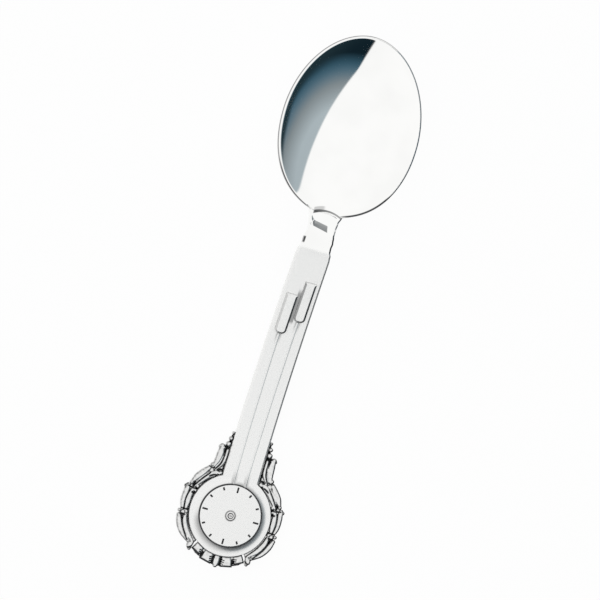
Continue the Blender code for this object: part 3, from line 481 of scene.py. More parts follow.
class Nodes:
    """Writes a node tree. Each call adds a node, sets or links its inputs and returns an output."""

    def __init__(self, tree):
        self.tree = tree
        tree.nodes.clear()

    def add(self, kind, inputs=None, output=0, **options):
        node = self.tree.nodes.new(kind)
        for name, value in options.items():
            setattr(node, name, value)
        for name, value in (inputs or {}).items():
            self.put(node.inputs[name], value)
        return node.outputs[output] if node.outputs else node

    def put(self, socket, value):
        if isinstance(value, bpy.types.NodeSocket):
            self.tree.links.new(value, socket)
        elif socket.type == "RGBA" and len(value) == 3:
            socket.default_value = (*value, 1.0)
        else:
            socket.default_value = value

    def maths(self, operation, *values, clamp=False):
        return self.add("ShaderNodeMath", dict(enumerate(values)), operation=operation, use_clamp=clamp)

    def product(self, first, *others):
        for other in others:
            first = self.maths("MULTIPLY", first, other)
        return first

    def highest(self, first, *others):
        for other in others:
            first = self.maths("MAXIMUM", first, other)
        return first

    def off(self, value, middle):
        """Distance of a value from a middle."""
        return self.maths("ABSOLUTE", self.maths("SUBTRACT", value, middle))

    def step(self, value, low, high, start=0.0, end=1.0, kind="SMOOTHSTEP"):
        inputs = {"Value": value, "From Min": low, "From Max": high, "To Min": start, "To Max": end}
        return self.add("ShaderNodeMapRange", inputs, interpolation_type=kind)

    def blend(self, factor, first, second):
        return self.add("ShaderNodeMix", {0: factor, 6: first, 7: second}, output=2, data_type="RGBA")

    def vector(self, operation, first, *others, output=0):
        inputs = dict(enumerate((first, *others)))
        return self.add("ShaderNodeVectorMath", inputs, output=output, operation=operation)

    def dot(self, vector, direction):
        return self.vector("DOT_PRODUCT", vector, direction, output="Value")

    def place(self):
        return self.add("ShaderNodeTexCoord", output="Object")


def writer_of(made):
    """Node writer of a new material or world."""
    made.use_nodes = True
    return Nodes(made.node_tree)


class Finish(Nodes):
    """Node writer of one new material, with its Principled shader and the places on the piece."""

    def __init__(self, name, metallic):
        self.made = bpy.data.materials.new("fine_" + name)
        self.made.use_nodes = True
        super().__init__(self.made.node_tree)
        self.shader = self.tree.nodes.new("ShaderNodeBsdfPrincipled")
        self.shader.inputs["Metallic"].default_value = metallic
        self.add("ShaderNodeOutputMaterial", {"Surface": self.shader.outputs[0]})
        self.chosen = settings()[0]
        self.at = self.place()
        self.across, self.along, self.up = (self.dot(self.at, axis) for axis in (X_AXIS, Y_AXIS, Z_AXIS))

    def give(self, name, value):
        self.put(self.shader.inputs[name], value)

    def rough(self, grain, low, high):
        """Roughness between two values, uneven with a grain."""
        self.give("Roughness", self.step(grain, 0.2, 0.8, low, high))

    def bump(self, strength, distance, height):
        inputs = {"Strength": strength, "Distance": distance, "Height": height}
        self.give("Normal", self.add("ShaderNodeBump", inputs))

    def noise(self, scale, stretch=EVEN, detail=3.0):
        mapped = self.add("ShaderNodeMapping", {"Vector": self.at, "Scale": stretch})
        return self.add("ShaderNodeTexNoise", {"Vector": mapped, "Scale": scale, "Detail": detail})

    def grain(self, scale, strength):
        """Fine grain as a bump, long in one direction."""
        self.bump(strength, GRAIN_DEPTH, self.noise(scale, (1.0, 0.06, 1.0), 4.0))

    def facing(self, direction):
        """How far the surface faces a direction."""
        return self.dot(self.add("ShaderNodeNewGeometry", output="Normal"), direction)

    def stored(self, name):
        """Value that a mesh stores at its points."""
        return self.add("ShaderNodeAttribute", output="Fac", attribute_name=name)

    def from_dial(self):
        """Distance from the upright axis of the dial."""
        flat = self.vector("MULTIPLY", self.vector("SUBTRACT", self.at, (0.0, Y_DIAL, 0.0)), (1.0, 1.0, 0.0))
        return self.vector("LENGTH", flat, output="Value")

    def silver(self, share):
        return tuple(share * c for c in self.chosen.silver)

    def lee_tarnish(self, strength, start=0.22):
        """Painted shade on slopes that face the lower right, away from the light."""
        return self.step(self.facing(LOWER_RIGHT), start, start + 0.40, 0.0, strength)

    def finish(self, dark, metal):
        """Colour that goes from a metal to the dark colour of the blackened hollows and the painted shade,
        and the finished material.
        """
        self.give("Base Color", self.blend(dark, metal, self.chosen.patina))
        return self.made


def ring_shade(paint, reach):
    """Soft shade round the dial: broad below it, and weaker on its right and at its upper left."""
    down = paint.dot(paint.at, (0.0, -1.0, 0.0))
    narrow, broad = LIP_END + RING_SHADE_NARROW, LIP_END + RING_SHADE_BROAD
    width = paint.step(down, -Y_DIAL - DIAL_RADIUS, -Y_DIAL + DIAL_RADIUS, narrow, broad)
    soft = paint.step(reach, width, SEAT_RADIUS, 0.0, 0.60)
    right = paint.step(paint.across, 0.1 * DIAL_RADIUS, DIAL_RADIUS, 1.0, 0.90)
    aside = paint.maths("SUBTRACT", paint.dot(paint.at, (-0.82, 0.57, 0.0)), 0.57 * Y_DIAL)
    left = paint.step(aside, 0.55 * DIAL_RADIUS, 0.90 * DIAL_RADIUS, 1.0, 0.12)
    return paint.product(soft, paint.product(right, left))


def between_weights(paint):
    """Painted shade in the narrow gap where the two weights hang side by side."""
    across = paint.off(paint.across, WEIGHT_SHIFT)
    low = RIGHT_WEIGHT_Y - WEIGHT_LENGTH / 2
    high = LEFT_WEIGHT_Y + WEIGHT_LENGTH / 2
    inside = paint.product(paint.step(paint.along, low - 0.0012, low),
                           paint.step(paint.along, high + 0.0022, high))
    return paint.product(inside, paint.step(across, WEIGHT_SPACING, 0.5 * WEIGHT_SPACING, 0.0, 0.62))


def beside_cords(paint):
    """Soft painted shade on both sides of the cords, beside the dial and under the weights."""
    along = paint.along
    edge = Y_DIAL + SEAT_RADIUS
    by_dial = paint.product(paint.step(along, edge + CORD_SHADE_BY_DIAL, edge, 0.0, 0.50),
                            paint.step(along, Y_DIAL, Y_DIAL + 0.001))
    shades = []
    for start, end, weight_y in (
        (-CORD_OFFSET_AT_DIAL, LEFT_WEIGHT_X, LEFT_WEIGHT_Y),
        (CORD_OFFSET_AT_DIAL, RIGHT_WEIGHT_X, RIGHT_WEIGHT_Y),
    ):
        foot = weight_y - WEIGHT_LENGTH / 2
        line = paint.step(along, edge, foot, start, end, kind="LINEAR")
        beside = paint.step(paint.off(paint.across, line), CORD_SHADE, 0.3 * CORD_SHADE)
        by_weight = paint.product(paint.step(along, foot - CORD_SHADE_BY_WEIGHT, foot, 0.0, 0.60),
                                  paint.step(along, foot + 0.0006, foot))
        shades.append(paint.product(beside, paint.highest(by_dial, by_weight)))
    return paint.highest(*shades)


def arch_seam(paint):
    """Painted shadow line along the arched step where the neck meets the bowl, broad on the left, with paler
    painted shade in a patch past it.
    """
    across = paint.maths("SUBTRACT", paint.across, ARCH_SHADOW_MIDDLE)
    bow = paint.product(across, across, ARCH_SHADOW_BOW / ARCH_SHADOW_HALF_LENGTH ** 2)
    past = paint.maths("SUBTRACT", paint.maths("ADD", paint.along, bow), Y_ROOT + ARCH_SHADOW_START)
    half = paint.step(across, -ARCH_SHADOW_HALF_LENGTH, 0.0, ARCH_SHADOW_BROAD, ARCH_SHADOW_NARROW)
    off = paint.maths("DIVIDE", paint.maths("ABSOLUTE", past), half)
    within = paint.step(paint.maths("ABSOLUTE", across), ARCH_SHADOW_HALF_LENGTH, 0.9 * ARCH_SHADOW_HALF_LENGTH)
    fade = paint.step(across, -ARCH_SHADOW_HALF_LENGTH, ARCH_SHADOW_HALF_LENGTH, 0.92, 0.62)
    shadow_line = paint.product(paint.step(off, 1.15, 0.75), within, fade)
    beyond = paint.product(paint.step(past, 0.0, ARCH_SHADOW_BROAD), paint.step(past, 0.0014, 0.0011))
    patch = paint.product(beyond, paint.step(across, -0.0008, -0.0018, 0.0, 0.38))
    return paint.highest(shadow_line, paint.product(patch, within))


def edge_darkness(paint, reach):
    """Painted shade on the blank's rim, its walls, its slopes to the lower right and the neck's notches."""
    along = paint.along
    # Painted shade on the upright walls, and on the handle's and shoulder's slopes that face the lower right.
    side = paint.step(paint.maths("ABSOLUTE", paint.facing(Z_AXIS)), 0.50, 0.20, 0.0, 0.85)
    bowl_side = paint.product(side, paint.step(along, Y_ROOT + 0.0010, Y_ROOT + 0.0040))
    on_handle = paint.product(paint.step(along, Y_ROOT + 0.0020, Y_ROOT - 0.0010),
                              paint.step(reach, CASE_RADIUS - 0.0012, CASE_RADIUS - 0.0007))
    on_shoulder = paint.product(paint.step(along, Y_SHOULDER + 0.0020, Y_SHOULDER + 0.0030),
                                paint.step(along, Y_CREASE + 0.0004, Y_CREASE - 0.0004))
    handle_lee = paint.product(paint.lee_tarnish(0.60), on_handle)
    shoulder_lee = paint.product(paint.lee_tarnish(0.95), on_shoulder)
    # Painted shade in the notch of the neck's outline.
    notch = paint.step(paint.off(along, NECK_NOTCH), 0.0011, 0.0006)
    outline = half_width(NECK_NOTCH)
    to_left = paint.dot(paint.at, (-1.0, 0.0, 0.0))
    left_edge = paint.step(to_left, outline - 0.00050, outline - 0.00034, 0.0, 0.97)
    notches = paint.product(paint.highest(side, left_edge), notch)
    return paint.highest(bowl_side, paint.stored("rim"), handle_lee, shoulder_lee, notches)


def body_silver():
    """Polished bowl and neck, satin stem and case, darkness in the dial's seat, and painted shade round the
    dial, at the step into the bowl, between the weights, beside the cords and on the blank's edges.
    """
    paint = Finish("body_silver", 1.0)
    chosen = paint.chosen
    smear = paint.noise(260.0, (1.0, 0.4, 1.0), 4.0)
    polished = paint.step(paint.along, Y_SHOULDER + POLISH_START, Y_SHOULDER + POLISH_END)
    rough = paint.step(polished, 0.0, 1.0, chosen.satin, chosen.polish)
    paint.give("Metallic", paint.step(polished, 0.0, 1.0, SATIN_METALLIC, 1.0))
    uneven = paint.maths("MULTIPLY_ADD", smear, 0.05, -0.02)
    paint.give("Roughness", paint.maths("ADD", rough, uneven, clamp=True))
    clouds = paint.step(paint.noise(90.0, EVEN, 2.0), 0.35, 0.75)
    bright = paint.blend(clouds, paint.silver(POLISHED_SHARE), paint.silver(1.0))
    silver = paint.blend(polished, paint.silver(SATIN_SHARE), bright)
    reach = paint.from_dial()
    seat_line = paint.step(reach, LIP_END + 0.00024, SEAT_RADIUS + 0.00012, 0.0, 0.97)
    # Painted shade on the face: round the dial, at the step into the bowl, between the weights and beside the
    # cords.
    on_face = paint.highest(seat_line, ring_shade(paint, reach), arch_seam(paint), between_weights(paint),
                            beside_cords(paint))
    upward = paint.step(paint.facing(Z_AXIS), 0.0, 0.1)
    dark = paint.highest(edge_darkness(paint, reach), paint.product(on_face, upward))
    lines = paint.noise(9000.0, (1.0, 0.05, 1.0), 3.0)
    paint.bump(paint.step(polished, 0.0, 1.0, 0.02, 0.003), GRAIN_DEPTH, lines)
    return paint.finish(dark, silver)


def satin_silver():
    """Weights: fine satin with a faint grain, and painted shade on edges that face the lower right, the upper
    left and the left, most on the right weight beside the gap.
    """
    paint = Finish("satin_silver", SATIN_METALLIC)
    satin = paint.chosen.satin
    smear = paint.noise(900.0, (1.0, 0.5, 1.0), 4.0)
    paint.rough(smear, satin - 0.04, satin + 0.05)
    metal = paint.blend(paint.step(smear, 0.3, 0.8), paint.silver(0.97), paint.silver(0.93))
    # Painted shade on edges facing the upper left, and on left sides, deeper on the right weight beside the
    # gap.
    upper = paint.step(paint.facing((-0.55, 0.83, 0.0)), 0.16, 0.42, 0.0, 0.45)
    deep = paint.step(paint.across, WEIGHT_SHIFT, WEIGHT_SHIFT + 0.0005, 0.30, 0.66)
    left = paint.product(paint.step(paint.facing((-1.0, 0.0, 0.0)), 0.16, 0.42), deep)
    paint.grain(9000.0, 0.015)
    return paint.finish(paint.highest(paint.lee_tarnish(0.94, 0.12), upper, left), metal)


def cord_silver():
    """Cords: bright along the ridge, with painted shade that greys the flanks, most of all beside the dial.
    """
    paint = Finish("cord_silver", SATIN_METALLIC)
    satin = paint.chosen.satin
    flank = paint.step(paint.maths("ABSOLUTE", paint.facing(X_AXIS)), 0.10, 0.34)
    near = paint.step(paint.from_dial(), CASE_RADIUS + 0.0020, SEAT_RADIUS, 0.14, 0.55)
    smear = paint.noise(900.0, (1.0, 0.5, 1.0), 4.0)
    paint.rough(smear, satin + 0.06, satin + 0.14)
    return paint.finish(paint.product(flank, near), paint.silver(1.0))


def dial_silver():
    """Satin face of the dial, blackened round its rim and in the cells of the marks, with painted shade in a
    ring round the hub.
    """
    paint = Finish("dial_silver", SATIN_METALLIC)
    satin = paint.chosen.satin
    reach = paint.from_dial()
    smear = paint.noise(1200.0, EVEN, 4.0)
    paint.rough(smear, satin - 0.05, satin + 0.04)
    cells_end = DIAL_RADIUS - MARK_MARGIN
    in_cell = paint.step(reach, cells_end + 0.00006, cells_end + 0.00004)
    low = paint.product(in_cell, paint.step(paint.up, DIAL_FACE - 0.00003, DIAL_FACE - 0.00012))
    rim = paint.step(reach, DIAL_RADIUS - 0.00010, DIAL_RADIUS - 0.00001)
    # Painted shade in a ring round the foot of the hub.
    round_hub = paint.step(reach, BUSH_RADIUS + 0.00042, BUSH_RADIUS + 0.00004, 0.0, 0.80)
    paint.grain(7000.0, 0.01)
    return paint.finish(paint.highest(low, rim, round_hub), paint.silver(DIAL_SHARE))


def hub_silver():
    """Turned silver of the bush, pin and washer, with lathe rings, dark grooves and painted shade on the
    flange towards the lower right.
    """
    paint = Finish("hub_silver", 1.0)
    reach = paint.from_dial()
    paint.bump(0.03, 0.00001, paint.maths("SINE", paint.maths("MULTIPLY", reach, LATHE_PITCH)))
    low = paint.step(paint.up, DIAL_FACE + 0.00010, DIAL_FACE - 0.00002)
    # Dark edge of the flange, deepened by painted shade towards the lower right.
    middle = -0.66 * Y_DIAL
    to_lee = paint.dot(paint.at, (0.75, -0.66, 0.0))
    lee = paint.step(to_lee, middle - BUSH_RADIUS, middle + BUSH_RADIUS, 0.4, 0.95)
    flange = paint.product(paint.step(reach, BUSH_RADIUS - 0.00026, BUSH_RADIUS - 0.00014), lee)
    head = paint.step(paint.off(reach, PIN_HEAD_RADIUS), 0.00017, 0.00009, 0.0, 0.97)
    on_head = paint.step(reach, PIN_HEAD_RADIUS, PIN_HEAD_RADIUS - 0.00004)
    slot = paint.product(on_head, paint.step(paint.up, PIN_TOP - 0.00002, PIN_TOP - 0.00006))
    worn = paint.step(reach, PIN_HEAD_RADIUS - 0.00002, PIN_HEAD_RADIUS - 0.00012)
    metal = paint.blend(worn, paint.silver(0.95), paint.silver(0.72))
    paint.rough(paint.noise(2000.0), 0.14, 0.24)
    return paint.finish(paint.highest(low, slot, flange, head), metal)


def cast_silver():
    """Castings: bright on the heights, blackened in the hollows, with worn high spots and painted shade on
    their edges and on slopes that face the lower right.
    """
    paint = Finish("cast_silver", 1.0)
    patches = paint.noise(1500.0, EVEN, 4.0)
    uneven = paint.maths("ADD", paint.stored("hollow"), paint.step(patches, 0.2, 0.8, -0.12, 0.12))
    # Blackened hollows and painted edge shade from the stored value, with painted shade on slopes facing the
    # lower right.
    dark = paint.highest(paint.step(uneven, 0.15, 0.95), paint.lee_tarnish(0.55))
    paint.give("Roughness", paint.step(dark, 0.0, 1.0, paint.chosen.cast, 0.55))
    paint.bump(0.15, 0.00003, patches)
    metal = paint.blend(paint.step(patches, 0.3, 0.75), paint.silver(0.90), paint.silver(0.72))
    return paint.finish(dark, metal)


def black_enamel():
    """Dull black filling with small pits."""
    paint = Finish("black_enamel", 0.0)
    enamel = paint.chosen.enamel
    pits = paint.noise(6000.0, EVEN, 2.0)
    paint.give("Base Color", paint.blend(paint.step(pits, 0.45, 0.8), enamel, tuple(2.0 * c for c in enamel)))
    paint.give("Roughness", paint.step(pits, 0.3, 0.8, 0.55, 0.70))
    paint.bump(0.15, GRAIN_DEPTH, pits)
    return paint.made


def dress(obj, maker, body, slot, *nodes_replaced):
    """Gives a piece the material of a maker function, made once, and ties the piece to the frame."""
    obj.data.materials.clear()
    obj.data.materials.append(bpy.data.materials.get("fine_" + maker.__name__) or maker())
    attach(obj, body)
    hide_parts(*nodes_replaced)


def shown(name, mesh, sharp=SHARP_ANGLE):
    mesh.validate()
    mesh.shade_smooth()
    mesh.set_sharp_from_angle(angle=math.radians(sharp))
    made = bpy.data.objects.new(name, mesh)
    bpy.context.scene.collection.objects.link(made)
    return made


def add_object(name, vertices, faces, sharp=SHARP_ANGLE):
    mesh = bpy.data.meshes.new(name)
    mesh.from_pydata([tuple(v) for v in vertices], [], faces)
    return shown(name, mesh, sharp)


def from_bmesh(name, bm):
    bmesh.ops.recalc_face_normals(bm, faces=bm.faces)
    mesh = bpy.data.meshes.new(name)
    bm.to_mesh(mesh)
    bm.free()
    return shown(name, mesh)


def applied(obj):
    """Turns an object's modifiers into its mesh."""
    graph = bpy.context.evaluated_depsgraph_get()
    mesh = bpy.data.meshes.new_from_object(obj.evaluated_get(graph))
    obj.modifiers.clear()
    obj.data = mesh
    return mesh


def boolean(target, cutter, operation):
    """Exact Boolean, applied, and its cutter removed."""
    step = target.modifiers.new(operation.lower(), "BOOLEAN")
    step.operation = operation
    step.solver = "EXACT"
    step.object = cutter
    mesh = applied(target)
    bpy.data.objects.remove(cutter, do_unlink=True)
    mesh.shade_smooth()
    mesh.set_sharp_from_angle(angle=math.radians(SHARP_ANGLE))


def soften(obj, width, segments):
    """Rounds the crisp edges of a small piece."""
    bevel = obj.modifiers.new("soften", "BEVEL")
    bevel.width = width
    bevel.segments = segments
    bevel.limit_method = "ANGLE"
    bevel.angle_limit = math.radians(SHARP_ANGLE)
    applied(obj)


def skin(rows, closed=True, other_way=False):
    """Quads between neighbouring rows of corners."""
    faces = []
    for first, second in zip(rows, rows[1:]):
        count = len(first)
        for i in range(count if closed else count - 1):
            j = (i + 1) % count
            if other_way:
                faces.append((first[i], second[i], second[j], first[j]))
            else:
                faces.append((first[i], first[j], second[j], second[i]))
    return faces


def rows_of(size, rows):
    """Numbers of corners that are made row by row."""
    return [list(range(row * size, (row + 1) * size)) for row in range(rows)]


def held(value, low=0.0, high=1.0):
    return min(max(value, low), high)


def smooth_step(value):
    share = held(value)
    return share * share * (3.0 - 2.0 * share)


def smooth_minimum(first, second, softness):
    near = max(softness - abs(first - second), 0.0)
    return min(first, second) - near * near / (4.0 * softness)


def eased_ramp(value, ease):
    share = held(value)
    if share < ease:
        return share * share / (2.0 * ease * (1.0 - ease))
    if share > 1.0 - ease:
        return 1.0 - (1.0 - share) ** 2 / (2.0 * ease * (1.0 - ease))
    return (share - ease / 2.0) / (1.0 - ease)


def through_points(points, share):
    """Catmull-Rom curve through points, read at a share of its way."""
    spans = len(points) - 1
    place = held(share) * spans
    index = min(int(place), spans - 1)
    local = place - index
    before, first, second, after = (Vector(points[held(index + k, 0, spans)]) for k in (-1, 0, 1, 2))
    return 0.5 * (
        2.0 * first
        + (second - before) * local
        + (2.0 * before - 5.0 * first + 4.0 * second - after) * local ** 2
        + (3.0 * first - before - 3.0 * second + after) * local ** 3
    )


def neck_half_width(y):
    share = max((y - Y_SHOULDER) / (Y_ROOT - Y_SHOULDER), 0.0)
    table = NECK_OUTLINE_SHARES
    if share >= table[-1][0]:
        return table[-1][1] * STEM_END_WIDTH / 2
    index = max(i for i, point in enumerate(table) if point[0] <= share)
    (start, first), (end, second) = table[index:index + 2]
    eased = smooth_step((share - start) / (end - start))
    return (first * (1.0 - eased) + second * eased) * STEM_END_WIDTH / 2


def half_width(y):
    """Half the width of the stem, neck or bowl, up to the bowl's widest line."""
    if y <= Y_SHOULDER:
        along = (y - Y_DIAL) / (Y_SHOULDER - Y_DIAL)
        return (STEM_WIDTH_AT_DIAL * (1.0 - along) + STEM_END_WIDTH * along) / 2
    neck = neck_half_width(y)
    if y <= Y_ROOT:
        return neck
    before_widest = min((Y_WIDEST - y) / (Y_WIDEST - Y_ROOT), 1.0)
    bowl = BOWL_WIDTH / 2 * (1.0 - before_widest ** SHOULDER_POWER) ** (1.0 / SHOULDER_POWER)
    merged = (neck ** NECK_BLEND_POWER + bowl ** NECK_BLEND_POWER) ** (1.0 / NECK_BLEND_POWER)
    fade = smooth_step(1.0 - before_widest)
    return merged * (1.0 - fade) + bowl * fade


def centre_height(y, softness, run=NECK_STEP_RUN, start=0.0):
    """Height of the top face over the axis, with the neck's step over a given run."""
    if y <= Y_FLAT:
        return PLATE_THICKNESS
    along = (y - Y_FLAT) / (Y_CREASE - Y_FLAT)
    rising = PLATE_THICKNESS + HANDLE_RISE * along ** 2 * (1.0 + RISE_BEND - RISE_BEND * along)
    step = NECK_STEP_DROP * eased_ramp((y - Y_CREASE - start) / run, STEP_EASE)
    if y <= Y_ROOT:
        falling = CREST_OF_ARCH - step - NECK_FALL * (y - Y_CREASE) / NECK_LENGTH
    else:
        past = (y - Y_ROOT) / BOWL_LENGTH
        falling = CREST_OF_ARCH - step - NECK_FALL - RIM_FALL * past * (1.0 + RIM_BEND - RIM_BEND * past)
    if y >= Y_ROOT + CROWN_FADE:
        return falling
    return smooth_minimum(rising, falling, softness)


def blank_thickness(y):
    if y <= Y_CREASE:
        share = smooth_step((y - Y_FLAT) / (Y_CREASE - Y_FLAT))
        return PLATE_THICKNESS * (1.0 - share) + NECK_THICKNESS * share
    share = smooth_step((y - Y_CREASE) / (NECK_LENGTH + BOWL_WIDEST_FROM_ROOT))
    return NECK_THICKNESS * (1.0 - share) + BOWL_THICKNESS * share


BOWL_DEPTH = centre_height(Y_WIDEST, CREASE_SOFTNESS) - blank_thickness(Y_WIDEST) + BOWL_FOOT_DEPTH


def tip_reach(across, along):
    """One on the outline of the bowl's round end, less inside it, from shares of its two half axes."""
    return (across ** TIP_POWER + along ** TIP_POWER) ** (1.0 / TIP_POWER)


def openness(x, y, rim):
    """One in the middle of the bowl, zero along its rim and below zero outside it."""
    if y <= Y_ROOT:
        return -1.0
    if y <= Y_WIDEST:
        across = abs(x) / (half_width(y) - rim)
        along = (Y_WIDEST - y) / (Y_WIDEST - Y_ROOT)
        return (1.0 - along ** 2) * (1.0 - across ** 2)
    return 1.0 - tip_reach(abs(x) / (BOWL_WIDTH / 2 - rim), (y - Y_WIDEST) / (Y_TIP - Y_WIDEST - rim)) ** 2


def bowl_entry(y):
    """Zero where the bowl begins, and one soon after."""
    return 1.0 - math.exp(min(Y_ROOT - y, 0.0) / BOWL_ENTRY)


def hollow(x, y):
    """Depth of the underside's bulge below the rim, as on the solid."""
    return BOWL_DEPTH * max(openness(x, y, EDGE_RADIUS), 0.0) * bowl_entry(y)


def crown(x, y):
    into = smooth_step((y - Y_SHOULDER) / (Y_CREASE - Y_SHOULDER))
    out = smooth_step((Y_ROOT + CROWN_FADE - y) / CROWN_FADE)
    across = min(abs(x) / half_width(min(y, Y_ROOT)), 1.0)
    return NECK_CROWN * into * out * (1.0 - across ** 2)


def facet_run(x):
    """Length of the facet past the crease: short in its middle, longer at both sides."""
    aside = min(abs(x - FACET_MIDDLE) / FACET_HALF_WIDTH, 1.0)
    lean = FACET_LEAN * held((x - FACET_MIDDLE) / FACET_REACH, -1.0, 1.0)
    longer = FACET_SIDE_RUN_SHARE * smooth_step((aside - FACET_STEEP_SHARE) / (1.0 - FACET_STEEP_SHARE))
    return FACET_RUN * (1.0 + lean + longer)


def facet_start(x):
    """Start of the facet past the crease, which runs a little askew."""
    return FACET_START - FACET_SKEW * held(x - FACET_MIDDLE, -FACET_REACH, FACET_REACH)


def bowl_lip(x, y, depth):
    """Small drop along an arc where the neck ends, fading out inside the bowl."""
    aside = (x - LIP_MIDDLE) / (STEM_END_WIDTH / 2)
    past = y - (Y_ROOT + LIP_START_FROM_ROOT - LIP_BOW * aside ** 2)
    if past <= 0.0 or past >= LIP_FADE:
        return 0.0
    fade = 1.0 - smooth_step((past - LIP_RUN) / (LIP_FADE - LIP_RUN))
    return depth * smooth_step(past / LIP_RUN) * fade


def face_height(x, y, lip=0.0):
    """Height of the top face, with the rounded land of the rim round the bowl."""
    level = centre_height(y, CREASE_SOFTNESS, facet_run(x), facet_start(x)) + crown(x, y)
    entry = bowl_entry(y)
    wall = level - BOWL_DEPTH * openness(x, y, EDGE_RADIUS + RIM_LAND) * entry
    if y > Y_ROOT:
        level = smooth_minimum(level, wall, max(RIM_SOFTNESS * entry, 1e-7))
    inside = smooth_step((half_width(y) - EDGE_RADIUS - abs(x)) / (2 * EDGE_RADIUS)) if y < Y_WIDEST else 1.0
    return level - (bowl_lip(x, y, lip) * inside if lip else 0.0)


def back_height(x, y):
    if y <= Y_FLAT:
        return 0.0
    return max(centre_height(y, UNDERSIDE_SOFTNESS) - hollow(x, y) - blank_thickness(y), 0.0)


def tip_place(across, along, inset):
    """Plan point of the bowl beyond its widest line, from a grid square turned into a round end."""
    disc_x = across * math.sqrt(1.0 - along ** 2 / 2.0)
    disc_y = along * math.sqrt(1.0 - across ** 2 / 2.0)
    reach = math.hypot(disc_x, disc_y)
    lean = 1.0
    if reach > 0.0:
        lean = (abs(disc_x / reach) ** TIP_POWER + abs(disc_y / reach) ** TIP_POWER) ** (-1.0 / TIP_POWER)
    return disc_x * lean * (BOWL_WIDTH / 2 - inset), Y_WIDEST + disc_y * lean * (Y_TIP - Y_WIDEST - inset)


def body_rows():
    marks = (Y_STEM_START, Y_SHOULDER, Y_CREASE, Y_STEP_FOOT, Y_ROOT, Y_WIDEST)
    rows = [("straight", Y_STEM_START)]
    for start, end, (count, bias) in zip(marks, marks[1:], BODY_ROWS):
        rows += [("straight", start + (end - start) * (step / count) ** bias) for step in range(1, count + 1)]
    return rows + [("tip", math.sin(math.pi / 2 * step / TIP_ROWS)) for step in range(1, TIP_ROWS + 1)]


def plan_place(row, across, inset):
    kind, value = row
    if kind == "tip":
        return tip_place(across, value, inset)
    return across * (half_width(value) - inset), value


def edge_levels():
    """Section of the blank's edge as insets and falls: a sloping face, a tight corner, the same below."""
    run = EDGE_RADIUS - EDGE_CORNER
    slope = math.radians(EDGE_SLOPE)
    fall = run * math.tan(slope)
    upper = [(EDGE_RADIUS - across * run, down * fall) for across, down in EDGE_TOP_SHARES]
    for step in range(1, EDGE_STEPS + 1):
        turn = slope + (math.pi / 2 - slope) * step / EDGE_STEPS
        across = (math.sin(turn) - math.sin(slope)) / (1.0 - math.sin(slope))
        down = (math.cos(slope) - math.cos(turn)) / math.cos(slope)
        upper.append((EDGE_CORNER * (1.0 - across), fall + EDGE_CORNER * EDGE_CORNER_DROP * down))
    lower = []
    for step in range(EDGE_STEPS, 0, -1):
        turn = math.pi / 2 * step / EDGE_STEPS
        lower.append((EDGE_RADIUS * (1.0 - math.sin(turn)), EDGE_RADIUS * (1.0 - math.cos(turn))))
    return [(inset, fall, True) for inset, fall in upper] + [(inset, fall, False) for inset, fall in lower]


def stem_and_bowl(lip):
    """Closed surface of the stem, neck and bowl: face, back and the rounded edge between them."""
    rows = body_rows()
    columns = [math.sin(math.pi / 2 * (2.0 * step / BODY_COLUMNS - 1.0)) for step in range(BODY_COLUMNS + 1)]
    spots = [plan_place(row, across, EDGE_RADIUS) for row in rows for across in columns]
    vertices = [(x, y, face_height(x, y, lip)) for x, y in spots]
    vertices += [(x, y, back_height(x, y)) for x, y in spots]
    grid = rows_of(len(columns), 2 * len(rows))
    face, back = grid[:len(rows)], grid[len(rows):]
    faces = skin(face, closed=False) + [quad[::-1] for quad in skin(back, closed=False)]
    last = len(rows) - 1
    border = [(row, 0) for row in range(last)]
    border += [(last, column) for column in range(BODY_COLUMNS)]
    border += [(row, BODY_COLUMNS) for row in range(last, -1, -1)]
    rings = [[face[row][column] for row, column in border]]
    for inset, fall, from_top in edge_levels():
        ring = []
        for row, column in border:
            x, y = plan_place(rows[row], columns[column], inset)
            top = vertices[face[row][column]][2]
            bottom = vertices[back[row][column]][2]
            drop = min(fall, (top - bottom) * 0.5)
            ring.append(len(vertices))
            vertices.append((x, y, top - drop if from_top else bottom + drop))
        rings.append(ring)
    rings.append([back[row][column] for row, column in border])
    faces += skin(rings, closed=False)
    start = list(reversed(face[0][1:-1])) + [ring[0] for ring in rings] + back[0][1:-1]
    faces.append(start + [ring[-1] for ring in reversed(rings)])
    return vertices, faces


def turned(name, profile, steps):
    """Piece turned about the dial's axis from a profile that runs down its outer side."""
    vertices = []
    rings = []
    for radius, z in profile:
        if radius == 0.0:
            rings.append([len(vertices)] * steps)
            vertices.append((0.0, Y_DIAL, z))
            continue
        rings.append(list(range(len(vertices), len(vertices) + steps)))
        for step in range(steps):
            turn = math.tau * step / steps
            vertices.append((radius * math.cos(turn), Y_DIAL + radius * math.sin(turn), z))
    if profile[0][0] > 0.0:
        rings.append(rings[0])
    faces = [tuple(dict.fromkeys(quad)) for quad in skin(rings, other_way=True)]
    return add_object(name, vertices, faces)


def arc(centre_radius, centre_z, radius, start, end, steps=ARC_STEPS, up=None):
    """Points of a section's arc between two angles in degrees, stretched to another height by up."""
    points = []
    for step in range(steps + 1):
        turn = math.radians(start + (end - start) * step / steps)
        points.append((centre_radius + radius * math.cos(turn), centre_z + (up or radius) * math.sin(turn)))
    return points


def outer_corner(radius, top, ease, steps=6):
    """Rounded upper corner of a turned piece."""
    return arc(radius - ease, top - ease, ease, 90, 0, steps)


def cove_height(radius):
    """Height of the case's face at a distance from the dial's centre."""
    share = held((radius - LIP_END) / COVE_WIDTH)
    return PLATE_THICKNESS + COVE_HEIGHT * (1.0 - share) ** COVE_POWER


